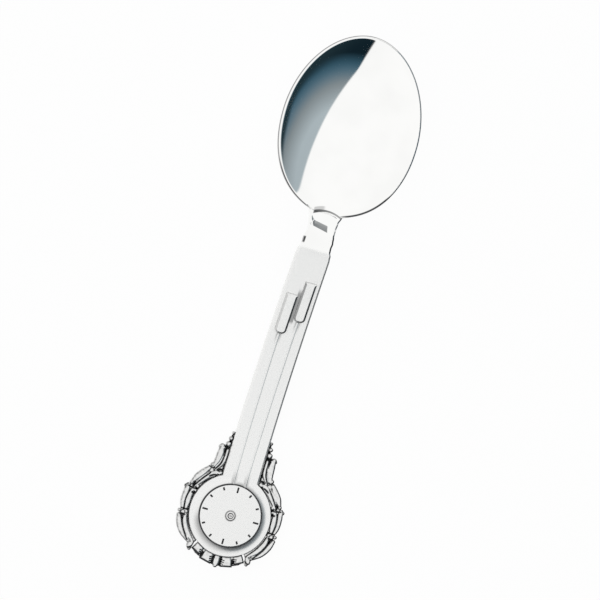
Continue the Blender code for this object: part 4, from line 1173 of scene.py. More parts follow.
def inset_of(x, y):
    """Distance of a plan point inside the outline of the bowl."""
    if y <= Y_WIDEST:
        lean = (half_width(y) - half_width(y - SLOPE_STEP)) / SLOPE_STEP
        return (half_width(y) - abs(x)) / math.hypot(1.0, lean)
    reach = tip_reach(abs(x) / (BOWL_WIDTH / 2), (y - Y_WIDEST) / (Y_TIP - Y_WIDEST))
    return (1.0 - reach) * math.hypot(x, y - Y_WIDEST) / max(reach, 0.1)


def darken_rim(mesh):
    """Stores a thin line of painted shade along the bowl's rim, strongest at its lower right, away from the
    light.
    """
    values = np.zeros(len(mesh.vertices), np.float32)
    for index, vertex in enumerate(mesh.vertices):
        x, y, _ = vertex.co
        past = y - Y_ROOT
        if past < 0.0:
            continue
        low = smooth_step((RIM_LOW_END - past) / RIM_LOW_FADE)
        strength, low_strength, low_width = RIM_LEFT if x < 0 else RIM_RIGHT
        width = RIM_LINE + (low_width - RIM_LINE) * low
        line = held((width - inset_of(x, y)) / RIM_LINE_FADE)
        values[index] = line * smooth_step(past / RIM_START) * (strength + (low_strength - strength) * low)
    mesh.attributes.new("rim", "FLOAT", "POINT").data.foreach_set("value", values)


def spoon_body():
    """Stem, neck and bowl joined to the round case, with its dial seat, cove and washer's well."""
    body = add_object("spoon_body_fine", *stem_and_bowl(settings()[1].lip_depth))
    profile = [(HOLE_RADIUS, PLATE_THICKNESS), (SEAT_RADIUS, PLATE_THICKNESS)]
    profile += arc(SEAT_RADIUS + SEAT_LIP, LIP_HEIGHT - SEAT_LIP, SEAT_LIP, 180, 90, 5)
    reaches = [LIP_END + COVE_WIDTH * step / COVE_STEPS for step in range(1, COVE_STEPS + 1)]
    profile += [(radius, cove_height(radius)) for radius in reaches]
    middle = PLATE_THICKNESS / 2
    profile += outer_corner(CASE_RADIUS, PLATE_THICKNESS, EDGE_CORNER)
    profile += arc(CASE_RADIUS - EDGE_RADIUS, middle, EDGE_RADIUS, 0, -90, up=middle)[1:]
    well = WASHER_RADIUS + WASHER_WELL_CLEARANCE
    profile += [(well, 0.0), (well, WASHER_WELL_DEPTH), (HOLE_RADIUS, WASHER_WELL_DEPTH)]
    boolean(body, turned("case_plate", profile, TURNED_STEPS), "UNION")
    darken_rim(body.data)
    dress(body, body_silver, "spoon", "polished_silver", "spoon_body")


def round_points(cx, cy, radius, start, steps):
    """Points of a quarter round in plan, from an angle in degrees."""
    turns = [math.radians(start + 90 * step / steps) for step in range(steps + 1)]
    return [(cx + radius * math.cos(turn), cy + radius * math.sin(turn)) for turn in turns]


def add_bar(bm, hour, grow, bottom, top):
    """Upright block along an hour's direction, its corners rounded in plan."""
    mark = LONG_MARK_LENGTH if hour % LONG_MARK_EVERY == 0 else SHORT_MARK_LENGTH
    half_length = (mark + 2 * grow) / 2 - CELL_CORNER
    half_breadth = (MARK_WIDTH + 2 * grow) / 2 - CELL_CORNER
    middle = DIAL_RADIUS - MARK_MARGIN - mark / 2
    turn = math.tau * hour / HOURS
    across, along = -math.sin(turn), -math.cos(turn)
    outline = []
    for side_x, side_y, start in ((1, 1, 0), (-1, 1, 90), (-1, -1, 180), (1, -1, 270)):
        for px, py in round_points(side_x * half_breadth, side_y * half_length, CELL_CORNER, start, 4):
            outline.append((middle * across + px * along + py * across,
                            Y_DIAL + middle * along - px * across + py * along))
    rings = [[bm.verts.new((x, y, z)) for x, y in outline] for z in (bottom, top)]
    for corners in [rings[1], rings[0][::-1]] + skin(rings):
        bm.faces.new(corners)


def dial():
    """Raised disc with a sloping edge, the cells of the marks and the hole of the bush."""
    profile = [(HOLE_RADIUS, DIAL_FACE), (BUSH_RADIUS + HUB_GROOVE, DIAL_FACE),
               (DIAL_RADIUS - DIAL_SLOPE_WIDTH - DIAL_FLAT_MARGIN, DIAL_FACE)]
    profile += [(DIAL_RADIUS - DIAL_SLOPE_WIDTH * across, DIAL_FACE - DIAL_SLOPE_FALL * down)
                for across, down in DIAL_EDGE_SHARES]
    profile += [(DIAL_RADIUS, DIAL_FOOT), (HOLE_RADIUS, DIAL_FOOT)]
    made = turned("dial_disc", profile, TURNED_STEPS)
    bm = bmesh.new()
    for hour in range(1, HOURS + 1):
        add_bar(bm, hour, JOINT_GAP, DIAL_FACE - CELL_DEPTH, DIAL_FACE + CELL_DEPTH)
    boolean(made, from_bmesh("cells", bm), "DIFFERENCE")
    dress(made, dial_silver, "spoon", "satin_silver", "dial")


def hour_marks():
    for hour in range(1, HOURS + 1):
        bm = bmesh.new()
        add_bar(bm, hour, 0.0, DIAL_FACE - CELL_DEPTH + JOINT_GAP, DIAL_FACE - MARK_SINK)
        made = from_bmesh(f"mark_{hour:02d}", bm)
        soften(made, MARK_EASE, 2)
        dress(made, black_enamel, "spoon", "black_enamel", f"hour_mark_{hour:02d}")


def hub():
    """Flanged bush, slotted pin and washer, all turned about the dial's axis."""
    under = DIAL_FACE + JOINT_GAP
    profile = arc(BORE_RADIUS + HUB_EDGE, BUSH_FACE - HUB_EDGE, HUB_EDGE, 180, 90, 5)
    profile += outer_corner(BUSH_RADIUS, BUSH_FACE, HUB_EDGE)
    profile += [(BUSH_RADIUS, under), (BUSH_SHANK_RADIUS, under), (BUSH_SHANK_RADIUS, WASHER_WELL_DEPTH),
                (BORE_RADIUS, WASHER_WELL_DEPTH)]
    bush = turned("pivot_bush_turned", profile, HUB_STEPS)
    dress(bush, hub_silver, "spoon", "hub_silver", "pivot_bush")

    washer_top = WASHER_WELL_DEPTH - PIN_CLEARANCE
    washer_foot = washer_top - WASHER_THICKNESS
    tail = washer_foot - PIN_CLEARANCE
    under_head = BUSH_FACE + PIN_CLEARANCE
    profile = [(0.0, PIN_TOP)] + outer_corner(PIN_HEAD_RADIUS, PIN_TOP, HUB_EDGE)
    profile += [(PIN_HEAD_RADIUS, under_head), (PIN_RADIUS, under_head), (PIN_RADIUS, tail), (0.0, tail)]
    pin = turned("hand_pivot_turned", profile, HUB_STEPS)
    bm = bmesh.new()
    place = Matrix.Translation((0.0, Y_DIAL, PIN_TOP))
    size = Matrix.Diagonal((SLOT_LENGTH, SLOT_WIDTH, 2 * SLOT_DEPTH, 1.0))
    bmesh.ops.create_cube(bm, size=1.0, matrix=place @ size)
    boolean(pin, from_bmesh("slot", bm), "DIFFERENCE")
    dress(pin, hub_silver, "pivot", "hub_silver", "hand_pivot")

    inner = PIN_RADIUS + JOINT_GAP
    profile = [(inner, washer_top)] + outer_corner(WASHER_RADIUS, washer_top, WASHER_EDGE, 4)
    profile += arc(WASHER_RADIUS - WASHER_EDGE, washer_foot + WASHER_EDGE, WASHER_EDGE, 0, -90, 4)
    washer = turned("pivot_washer_turned", profile + [(inner, washer_foot)], HUB_STEPS)
    dress(washer, hub_silver, "pivot", "hub_silver", "pivot_washer")


def weight_outline(inset):
    """Plan of a weight, drawn in by an inset: square towards the bowl, round towards the dial."""
    half = WEIGHT_WIDTH / 2 - inset
    ahead = WEIGHT_LENGTH / 2 - inset
    corner = WEIGHT_CORNER - inset
    square = WEIGHT_SQUARE_CORNER
    points = []
    for cx, cy, radius, start in (
        (half - square, ahead - square, square, 0), (square - half, ahead - square, square, 90),
        (corner - half, corner - ahead, corner, 180), (half - corner, corner - ahead, corner, 270),
    ):
        points += round_points(cx, cy, radius, start, 8)
    return points


def weight(name, node, x, y):
    """Bar on the face of the stem with a sloping edge and softly rounded corners."""
    shape = settings()[1]
    ends = (y - WEIGHT_LENGTH / 2, y + WEIGHT_LENGTH / 2)
    back, front = [Vector((0.0, end, face_height(x, end))) for end in ends]
    slope = math.atan2(front.z - back.z, front.y - back.y)
    up = Vector((0.0, -math.sin(slope), math.cos(slope)))
    seat = (back + front) / 2 + up * JOINT_GAP
    along = Vector((0.0, math.cos(slope), math.sin(slope)))
    width = shape.weight_chamfer
    depth = shape.weight_chamfer_depth
    ease = WEIGHT_EDGE_EASE
    levels = [(0.0, 0.0), (0.0, WEIGHT_THICKNESS - depth)]
    levels += [(width * share, WEIGHT_THICKNESS - depth * (1.0 - share)) for share in (ease, 1.0 - ease)]
    levels += [(width, WEIGHT_THICKNESS - 0.3 * ease * depth)]
    levels += [(width * (1 + share * ease), WEIGHT_THICKNESS) for share in (1, 2, 3)]
    vertices = []
    for inset, height in levels:
        for px, py in weight_outline(inset):
            point = seat + along * py + up * height
            vertices.append((x + px, point.y, point.z))
    rings = rows_of(len(weight_outline(0.0)), len(levels))
    faces = [tuple(rings[-1]), tuple(reversed(rings[0]))] + skin(rings)
    dress(add_object(name, vertices, faces, WEIGHT_SHARP_ANGLE), satin_silver, "spoon", "satin_silver", node)


def cord(name, node, start_x, weight_x, weight_y):
    """Low half-round wire on the case and the stem, from the dial's edge to its weight."""
    shape = settings()[1]
    half = shape.cord_half_width
    start = math.sqrt((SEAT_RADIUS + JOINT_GAP) ** 2 - (abs(start_x) - half) ** 2)
    end = weight_y - WEIGHT_LENGTH / 2 - JOINT_GAP - Y_DIAL
    section = [(1.0 - k / CORD_SECTION, 0.5 - 0.5 * math.cos(math.pi * k / CORD_SECTION))
               for k in range(2 * CORD_SECTION + 1)]
    vertices = []
    for index in range(CORD_STATIONS + 1):
        way = (index / CORD_STATIONS) ** CORD_BIAS
        x = start_x + (weight_x - start_x) * way
        along = start + (end - start) * way
        y = Y_DIAL + along
        near = math.exp(-(along - start) / CORD_FADE) + 0.5 * math.exp((along - end) / CORD_FADE)
        for across, rise in section:
            px = x + across * half
            ground = max(cove_height(math.hypot(px, along)), face_height(px, y)) + JOINT_GAP / 4
            vertices.append((px, y, ground + shape.cord_height * rise * (1.0 + near)))
    rings = rows_of(len(section), CORD_STATIONS + 1)
    faces = skin(rings, other_way=True) + [tuple(rings[0]), tuple(reversed(rings[-1]))]
    dress(add_object(name, vertices, faces, CORD_SHARP_ANGLE), cord_silver, "spoon", "satin_silver", node)


def place_in_case(x_share, y_share):
    """World plan point of shares of the case radius, drawn along with the stem's edge."""
    y = Y_DIAL + y_share * CASE_RADIUS
    beside = smooth_step((y_share - STEM_EDGE_SHARE) / (1.0 - STEM_EDGE_SHARE))
    return x_share * CASE_RADIUS + beside * (half_width(y) - STEM_EDGE_SHARE * CASE_RADIUS), y


def limited(values, low=0.0, high=1.0):
    return np.clip(values, low, high)


def blurred(grid):
    """Mean of each cell's four neighbours."""
    padded = np.pad(grid, 1, mode="edge")
    return (padded[:-2, 1:-1] + padded[2:, 1:-1] + padded[1:-1, :-2] + padded[1:-1, 2:]) / 4


class Relief:
    """Height grid of a casting: features raise it, and its outline is where any of them lies."""

    def __init__(self, corners):
        (left, low), (right, high) = corners
        self.xs = np.arange(left, right + RELIEF_STEP, RELIEF_STEP)
        self.ys = np.arange(Y_DIAL + low, Y_DIAL + high + RELIEF_STEP, RELIEF_STEP)
        self.x, self.y = np.meshgrid(self.xs, self.ys, indexing="ij")
        shape = self.x.shape
        self.height = np.full(shape, FRAME_FOOT)
        self.inside = np.full(shape, -1.0)
        self.lines, self.fringe, self.bright = np.zeros((3, *shape))

    def raise_to(self, depth_inside, height):
        """Lifts the grid to a height where a feature's distance inside its own edge is positive."""
        within = depth_inside > -RELIEF_STEP
        self.height = np.where(within, np.maximum(self.height, height), self.height)
        self.inside = np.maximum(self.inside, depth_inside)

    def from_segment(self, start, end):
        """Distance from a straight line between two points, and the share of its way."""
        (x0, y0), (x1, y1) = start, end
        dx, dy = x1 - x0, y1 - y0
        share = limited(((self.x - x0) * dx + (self.y - y0) * dy) / (dx * dx + dy * dy))
        return np.hypot(self.x - x0 - share * dx, self.y - y0 - share * dy), share

    def plate(self, outline, height):
        """Flat plate inside a closed outline."""
        distance = np.full(self.x.shape, 1.0)
        winding = np.zeros(self.x.shape, bool)
        for (x0, y0), (x1, y1) in zip(outline, outline[1:] + outline[:1]):
            distance = np.minimum(distance, self.from_segment((x0, y0), (x1, y1))[0])
            if y0 != y1:
                left = self.x < (self.y - y0) * (x1 - x0) / (y1 - y0) + x0
                winding ^= ((y0 > self.y) != (y1 > self.y)) & left
        self.raise_to(np.where(winding, distance, -distance), height)

    def along_curve(self, points, samples=CURVE_STEPS):
        """Distance from a curve, the curve's half-width there and the share of its way."""
        line = []
        for step in range(samples + 1):
            x, y, half = through_points(points, step / samples)
            line.append((place_in_case(x, y), half * CASE_RADIUS))
        best = np.full(self.x.shape, 1.0)
        half_here = np.full(self.x.shape, 1e-4)
        way = np.zeros(self.x.shape)
        for index, ((start, h0), (end, h1)) in enumerate(zip(line, line[1:])):
            distance, share = self.from_segment(start, end)
            nearer = distance < best
            best = np.where(nearer, distance, best)
            half_here = np.where(nearer, h0 + (h1 - h0) * share, half_here)
            way = np.where(nearer, (index + share) / samples, way)
        return best, half_here, way

    def leaf(self, points, edge, peak, fullness=1.0):
        """Rounded leaf along a curve, lower towards its end."""
        best, half_here, way = self.along_curve(points)
        half_here = half_here * fullness
        rounded = np.sqrt(limited(1.0 - (best / half_here) ** LEAF_POWER))
        self.raise_to(half_here - best, edge + peak * (1.0 - LEAF_TAPER * way) * rounded)

    def pad(self, points, edge, peak, reach):
        """Flat-topped lobe along a curve, cut off square at a reach from the dial, with painted shadow along
        its cut edge.
        """
        best, half_here, _ = self.along_curve(points)
        end_x, end_y, _ = points[-1]
        out = (self.x * end_x + (self.y - Y_DIAL) * end_y) / math.hypot(end_x, end_y)
        left = reach * CASE_RADIUS - out
        within = np.minimum(half_here - best, left)
        rounded = np.sqrt(limited(1.0 - (best / half_here) ** PAD_POWER))
        self.raise_to(within, edge + peak * rounded * limited(left / PAD_SLOPE))
        cut_edge_shadow = limited((PAD_LINE - left) / PAD_LINE_FADE)
        self.lines = np.maximum(self.lines, np.where(within > -RELIEF_STEP, cut_edge_shadow, 0.0))

    def groove(self, half, points, side=1.0):
        """Cuts a dark line into the heights, on the other side when side is below zero."""
        best = self.along_curve([(side * x, y, half) for x, y in points], GROOVE_STEPS)[0]
        cut = limited(1.0 - (best / (half * CASE_RADIUS)) ** 2)
        self.height = np.maximum(self.height - GROOVE_DEPTH * cut, FRAME_FOOT + GROOVE_FLOOR)
        self.lines = np.maximum(self.lines, cut)

    def bead(self, x, y, radius, centre_height):
        px, py = place_in_case(x, y)
        size = radius * CASE_RADIUS
        distance = np.hypot(self.x - px, self.y - py)
        dome = np.sqrt(limited(size ** 2 - distance ** 2, 0.0, None))
        self.raise_to(size - distance, centre_height + dome)
        self.bright = np.maximum(self.bright, limited((size - distance) / (BEAD_BRIGHT_SHARE * size)))

    def clear_of_case(self, strip):
        """Cuts the casting off at the case, and at the stem too when it has a strip beside it."""
        from_case = np.hypot(self.x, self.y - Y_DIAL) - CASE_RADIUS
        self.inside = np.minimum(self.inside, from_case - JOINT_GAP)
        self.fringe = limited((FRINGE - from_case) / FRINGE_FADE)
        if strip:
            edges = np.array([half_width(y) for y in self.ys])[None, :]
            beside = np.abs(self.x) - edges - JOINT_GAP
            above = self.y > Y_DIAL
            self.inside = np.where(above, np.minimum(self.inside, beside), self.inside)
            beside_stem = limited((STEM_FRINGE_SHARE * FRINGE - beside) / FRINGE_FADE)
            self.fringe = np.maximum(self.fringe, np.where(above, beside_stem, 0.0))

    def settle(self):
        """Softens the heights a little, as a casting does."""
        self.height = 0.5 * self.height + 0.5 * blurred(self.height)

    def edge_line(self, mirrored):
        """Painted shade along the outline, strong where it faces the lower right, away from the light."""
        slope_x, slope_y = np.gradient(self.inside, RELIEF_STEP)
        size = np.maximum(np.hypot(slope_x, slope_y), 1e-6)
        right, up, _ = LOWER_RIGHT
        lee = ((right if mirrored else -right) * slope_x - up * slope_y) / size
        line = limited((EDGE_LINE - self.inside) / EDGE_LINE_FADE)
        return line * limited(EDGE_LEVEL + EDGE_LEE * lee, EDGE_LEAST)

    def hollows(self, dark_level, mirrored):
        """Patina from 0 to 1: low places, places below their surroundings, grooves and fringes, with painted
        shade along the pads' cut edges and the outline.
        """
        mean = self.height
        for _ in range(DARK_REACH):
            mean = blurred(mean)
        below = limited((mean - self.height) / DARK_BELOW - DARK_BELOW_START, 0.0, DARK_BELOW_MOST)
        low = limited((dark_level - self.height) / DARK_DEPTH)
        dark = np.maximum.reduce([below, low, self.lines, self.fringe])
        return np.maximum(dark * (1.0 - self.bright), self.edge_line(mirrored))

    def build(self, name, mirrored, dark_level):
        """Closed mesh: relief on top, upright sides and a flat back."""
        patina_and_shade_share = self.hollows(dark_level, mirrored)
        corners = {}
        tops = []
        values = []

        def keep(key, x, y, held_by):
            corners[key] = len(tops)
            tops.append((x, y, self.height[held_by]))
            values.append(patina_and_shade_share[held_by])

        def corner(key):
            if key not in corners:
                keep(key, self.xs[key[0]], self.ys[key[1]], key)
            return corners[key]

        def crossing(a, b):
            key = first, second = min(a, b), max(a, b)
            if key not in corners:
                share = self.inside[first] / (self.inside[first] - self.inside[second])
                x = self.xs[first[0]] * (1 - share) + self.xs[second[0]] * share
                y = self.ys[first[1]] * (1 - share) + self.ys[second[1]] * share
                keep(key, x, y, first if self.inside[first] > 0 else second)
            return corners[key]

        top_faces = []
        rim = []
        positive = self.inside > 0
        count = positive[:-1, :-1].astype(int) + positive[1:, :-1] + positive[1:, 1:] + positive[:-1, 1:]
        for i, j in zip(*np.nonzero(count)):
            cell = [(i, j), (i + 1, j), (i + 1, j + 1), (i, j + 1)]
            loop = []
            leaving = None
            first_entry = None
            for a, b in zip(cell, cell[1:] + cell[:1]):
                if positive[a]:
                    loop.append(corner(a))
                if positive[a] != positive[b]:
                    point = crossing(a, b)
                    loop.append(point)
                    if positive[a]:
                        leaving = point
                    elif leaving is None:
                        first_entry = point
                    else:
                        rim.append((leaving, point))
                        leaving = None
            if leaving is not None:
                rim.append((leaving, first_entry))
            top_faces.append(tuple(loop))
        count = len(tops)
        vertices = tops + [(x, y, FRAME_FOOT) for x, y, _ in tops]
        faces = top_faces + [tuple(v + count for v in reversed(loop)) for loop in top_faces]
        faces += [(b, a, a + count, b + count) for a, b in rim]
        if mirrored:
            vertices = [(-x, y, z) for x, y, z in vertices]
            faces = [tuple(reversed(loop)) for loop in faces]
        made = add_object(name, vertices, faces, CAST_SHARP_ANGLE)
        # The stored hollow value holds both the blackened hollows and the painted shade of the edges.
        layer = made.data.attributes.new("hollow", "FLOAT", "POINT")
        layer.data.foreach_set("value", np.array(values + [0.0] * count, np.float32))
        return made


def half_frame():
    """Relief of the right half frame, from the top bead beside the stem to the crest."""
    peak = settings()[1].leaf_crown
    relief = Relief(FRAME_GRID)
    first, last = PLATE_INNER_ANGLES
    outline = [place_in_case(PLATE_INNER_SHARE * STEM_EDGE_SHARE, PLATE_EDGE_SHARES[0][1])]
    for step in range(PLATE_INNER_STEPS + 1):
        turn = math.radians(first + (last - first) * step / PLATE_INNER_STEPS)
        outline.append(place_in_case(PLATE_INNER_SHARE * math.cos(turn), PLATE_INNER_SHARE * math.sin(turn)))
    outline += [place_in_case(x, y) for x, y in reversed(PLATE_EDGE_SHARES)]
    relief.plate(outline, FRAME_FOOT + FRAME_PLATE_THICKNESS)
    for points in LEAF_SHARES:
        relief.leaf(points, LEAF_EDGE, peak, LEAF_FULLNESS)
    for half, line in GROOVES:
        relief.groove(half, line)
    for points in HOOD_SHARES:
        relief.leaf(points, HOOD_EDGE, HOOD_PEAK_SHARE * peak)
    for x, y, radius in BEAD_SHARES:
        relief.bead(x, y, radius, BEAD_CENTRE)
    relief.settle()
    relief.clear_of_case(True)
    return relief


def scrolls():
    relief = half_frame()
    for node, mirrored, dark_level in (
        ("scroll_right", False, DARK_LEVEL_RIGHT), ("scroll_left", True, DARK_LEVEL_LEFT),
    ):
        made = relief.build(node + "_cast", mirrored, dark_level)
        dress(made, cast_silver, "spoon", "cast_silver", node)


def crest():
    """Ribbed shell at the end of the handle: a tongue between two lobes on each side."""
    peak = settings()[1].leaf_crown
    relief = Relief(CREST_GRID)
    right = [place_in_case(x, y) for x, y in CREST_PLATE_SHARES]
    outline = right + [(-x, y) for x, y in reversed(right[1:])]
    relief.plate(outline, FRAME_FOOT + FRAME_PLATE_THICKNESS)
    relief.leaf(CREST_TONGUE_SHARES, LEAF_EDGE, peak)
    for lobe, reach in zip(CREST_LOBE_SHARES, CREST_LOBE_REACH):
        for side in (1.0, -1.0):
            relief.pad([(side * x, y, half) for x, y, half in lobe], LEAF_EDGE, peak, reach)
    for half, line in CREST_GROOVES:
        for side in (1.0, -1.0):
            relief.groove(half, line, side)
    relief.settle()
    relief.clear_of_case(False)
    made = relief.build("crest_cast", False, DARK_LEVEL_CREST)
    dress(made, cast_silver, "spoon", "cast_silver", "crest")


def dark_side_level(nodes, ahead, up):
    """Brightness inside the dark side: it grows upwards and towards the bowl."""
    both = nodes.product(ahead, up)
    level = nodes.maths("MULTIPLY_ADD", ahead, 0.33, 0.04)
    level = nodes.maths("MULTIPLY_ADD", up, 0.60, level)
    level = nodes.maths("MULTIPLY_ADD", both, 0.35, level)
    return nodes.maths("MINIMUM", nodes.highest(level, 0.015), 0.47)


def light_dome():
    """Plain white light from all round, which is also the white background."""
    world = bpy.data.worlds.new("light_dome")
    nodes = writer_of(world)
    background = nodes.add("ShaderNodeBackground", {"Color": WHITE, "Strength": settings()[2].dome})
    nodes.add("ShaderNodeOutputWorld", {"Surface": background})
    bpy.context.scene.world = world


def flags_paint():
    """Dark side and dark band of the flags, clear where the light comes past them."""
    paint = bpy.data.materials.new("dark_flags")
    paint.cycles.emission_sampling = "NONE"
    nodes = writer_of(paint)
    direction = nodes.vector("NORMALIZE", nodes.place())
    dark = nodes.product(*(nodes.step(nodes.dot(direction, plane), -DARK_SIDE_SOFTNESS, DARK_SIDE_SOFTNESS)
                           for plane in DARK_SIDE_PLANES))
    right, ahead, up = (nodes.dot(direction, axis) for axis in (X_AXIS, Y_AXIS, Z_AXIS))
    level = dark_side_level(nodes, ahead, up)
    tint = nodes.blend(nodes.step(level, 0.05, 0.28), DEEP_TINT, PALE_TINT)
    shade = nodes.add("ShaderNodeVectorMath", {0: tint, "Scale": level}, operation="SCALE")
    band_foot = nodes.step(ahead, -0.7, 0.1, 0.22, 0.06)
    band_top = nodes.step(ahead, -0.7, 0.1, 0.55, 0.12)
    strength = nodes.product(nodes.step(right, -0.9, 0.0, 0.25, 0.96), nodes.step(ahead, 0.4, 0.9, 1.0, 0.86))
    band = nodes.product(nodes.maths("SUBTRACT", 1.0, nodes.step(up, band_foot, band_top)), strength)
    colour = nodes.blend(band, nodes.blend(dark, BLACK, shade), BAND_COLOUR)
    past = nodes.product(nodes.maths("SUBTRACT", 1.0, dark), nodes.maths("SUBTRACT", 1.0, band))
    window = nodes.add("ShaderNodeBsdfTransparent", {"Color": nodes.blend(past, BLACK, WHITE)})
    card = nodes.add("ShaderNodeEmission", {"Color": colour, "Strength": 1.0})
    nodes.add("ShaderNodeOutputMaterial", {"Surface": nodes.add("ShaderNodeAddShader", {0: window, 1: card})})
    return paint


def flags():
    """Dark flags far round the table, which the polished silver shows: the camera looks past them."""
    vertices = []
    for row in range(FLAG_ROWS + 1):
        rise = math.radians(FLAG_FOOT + (90.0 - FLAG_FOOT) * row / FLAG_ROWS)
        across = FLAG_DISTANCE * math.cos(rise)
        up = FLAG_DISTANCE * math.sin(rise)
        for column in range(FLAG_COLUMNS):
            turn = math.tau * column / FLAG_COLUMNS
            vertices.append((across * math.cos(turn), across * math.sin(turn), up))
    faces = skin(rows_of(FLAG_COLUMNS, FLAG_ROWS + 1), other_way=True)
    made = add_object("stage_flags", vertices, faces)
    made.visible_camera = False
    made.data.materials.append(flags_paint())


def floor():
    """Pale floor, white to the camera and in the silver apart from a faint shadow, and clear from below."""
    half = settings()[2].floor_size / 2
    marks = [half * (2 * i / FLOOR_CELLS - 1) for i in range(FLOOR_CELLS + 1)]
    vertices = [(x, y, FLOOR_LEVEL) for x in marks for y in marks]
    faces = skin(rows_of(len(marks), len(marks)), closed=False, other_way=True)
    made = add_object("stage_floor", vertices, faces)
    paint = bpy.data.materials.new("floor_white")
    nodes = writer_of(paint)
    rays = nodes.add("ShaderNodeLightPath").node.outputs
    seen = nodes.maths("ADD", rays["Is Camera Ray"], rays["Is Glossy Ray"], clamp=True)
    seen = nodes.maths("ADD", seen, rays["Is Transmission Ray"], clamp=True)
    glow = nodes.step(seen, 0.0, 1.0, 0.46, 0.93)
    albedo = nodes.blend(seen, (0.45, 0.45, 0.45), (0.07, 0.07, 0.07))
    emission = nodes.add("ShaderNodeEmission", {"Color": WHITE, "Strength": glow})
    diffuse = nodes.add("ShaderNodeBsdfDiffuse", {"Color": albedo})
    both = nodes.add("ShaderNodeAddShader", {0: emission, 1: diffuse})
    under = nodes.add("ShaderNodeNewGeometry", output="Backfacing")
    clear = nodes.add("ShaderNodeBsdfTransparent")
    surface = nodes.add("ShaderNodeMixShader", {0: under, 1: both, 2: clear})
    nodes.add("ShaderNodeOutputMaterial", {"Surface": surface})
    made.data.materials.append(paint)


def camera():
    """Camera above the spoon, leaned to its left and rolled as the picture is."""
    stage = settings()[2]
    lean = Vector((math.cos(stage.tilt), 0.0, math.sin(stage.tilt)))
    along = Vector(Y_AXIS)
    right = math.cos(stage.roll) * lean + math.sin(stage.roll) * along
    up = math.cos(stage.roll) * along - math.sin(stage.roll) * lean
    back = right.cross(up)
    middle = PICTURE_SIDE / 2
    to_right = (middle - DIAL_PIXEL[0]) * METRES_PER_PIXEL
    to_top = (DIAL_PIXEL[1] - middle) * METRES_PER_PIXEL
    aim = Vector((0.0, Y_DIAL, DIAL_FACE)) + right * to_right + up * to_top
    lens = bpy.data.cameras.new("camera")
    lens.sensor_width = SENSOR
    lens.sensor_fit = "HORIZONTAL"
    lens.lens = SENSOR * stage.distance / (PICTURE_SIDE * METRES_PER_PIXEL)
    lens.clip_start = 0.01
    lens.clip_end = 20.0
    made = bpy.data.objects.new("camera", lens)
    bpy.context.scene.collection.objects.link(made)
    turn = Matrix((right, up, back)).transposed().to_4x4()
    made.matrix_world = Matrix.Translation(aim + back * stage.distance) @ turn
    bpy.context.scene.camera = made


class SPOON_OT_body(bpy.types.Operator):
    """Build the blank: bowl, neck, stem and case"""
    bl_idname = "spoon.body"
    bl_label = "Spoon body"

    def execute(self, context):
        spoon_body()
        return {"FINISHED"}


class SPOON_OT_dial(bpy.types.Operator):
    """Build the dial and its hour marks"""
    bl_idname = "spoon.dial"
    bl_label = "Dial and marks"

    def execute(self, context):
        dial()
        hour_marks()
        return {"FINISHED"}


class SPOON_OT_hub(bpy.types.Operator):
    """Build the bush, the turning pin and its washer"""
    bl_idname = "spoon.hub"
    bl_label = "Hub"

    def execute(self, context):
        hub()
        return {"FINISHED"}


class SPOON_OT_weights(bpy.types.Operator):
    """Build both weights"""
    bl_idname = "spoon.weights"
    bl_label = "Weights"

    def execute(self, context):
        weight("weight_left_bar", "weight_left", LEFT_WEIGHT_X, LEFT_WEIGHT_Y)
        weight("weight_right_bar", "weight_right", RIGHT_WEIGHT_X, RIGHT_WEIGHT_Y)
        return {"FINISHED"}


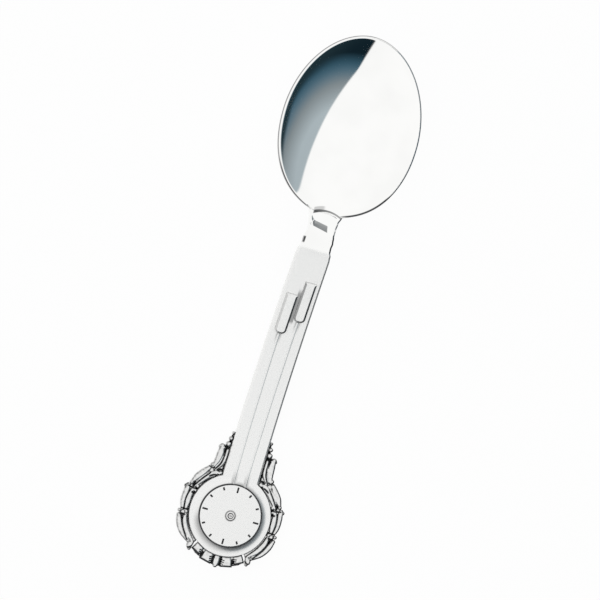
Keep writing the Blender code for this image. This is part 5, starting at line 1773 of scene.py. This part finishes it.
class SPOON_OT_cords(bpy.types.Operator):
    """Build both cast cords"""
    bl_idname = "spoon.cords"
    bl_label = "Cords"

    def execute(self, context):
        cord("cord_left_wire", "cord_left", -CORD_OFFSET_AT_DIAL, LEFT_WEIGHT_X, LEFT_WEIGHT_Y)
        cord("cord_right_wire", "cord_right", CORD_OFFSET_AT_DIAL, RIGHT_WEIGHT_X, RIGHT_WEIGHT_Y)
        return {"FINISHED"}


class SPOON_OT_castings(bpy.types.Operator):
    """Build the cast frame: both scrolls and the crest"""
    bl_idname = "spoon.castings"
    bl_label = "Castings"

    def execute(self, context):
        scrolls()
        crest()
        return {"FINISHED"}


class SPOON_OT_stage(bpy.types.Operator):
    """Set up the floor, the light, the flags and the camera"""
    bl_idname = "spoon.stage"
    bl_label = "Stage"

    def execute(self, context):
        floor()
        light_dome()
        flags()
        camera()
        bpy.context.scene.view_settings.view_transform = "Standard"
        return {"FINISHED"}


class SPOON_PT_panel(bpy.types.Panel):
    """Sizes, colours and steps of the spoon"""
    bl_idname = "SPOON_PT_panel"
    bl_label = "Christening spoon"
    bl_space_type = "VIEW_3D"
    bl_region_type = "UI"
    bl_category = "Spoon"

    def draw(self, context):
        for group in settings():
            box = self.layout.box()
            for name in group.__annotations__:
                box.prop(group, name)
        for operator in OPERATORS:
            self.layout.operator(operator.bl_idname)


OPERATORS = (SPOON_OT_body, SPOON_OT_dial, SPOON_OT_hub, SPOON_OT_weights, SPOON_OT_cords,
             SPOON_OT_castings, SPOON_OT_stage)
GROUPS = (SpoonFinish, SpoonShape, SpoonStage)


def register():
    for made in GROUPS + OPERATORS + (SPOON_PT_panel,):
        bpy.utils.register_class(made)
    bpy.types.Scene.spoon_finish = PointerProperty(type=SpoonFinish)
    bpy.types.Scene.spoon_shape = PointerProperty(type=SpoonShape)
    bpy.types.Scene.spoon_stage = PointerProperty(type=SpoonStage)


def unregister():
    del bpy.types.Scene.spoon_finish
    del bpy.types.Scene.spoon_shape
    del bpy.types.Scene.spoon_stage
    for made in reversed(GROUPS + OPERATORS + (SPOON_PT_panel,)):
        bpy.utils.unregister_class(made)


def main():
    register()
    bpy.ops.spoon.body()
    bpy.ops.spoon.dial()
    bpy.ops.spoon.hub()
    bpy.ops.spoon.weights()
    bpy.ops.spoon.cords()
    bpy.ops.spoon.castings()
    bpy.ops.spoon.stage()


if __name__ == "__main__":
    main()
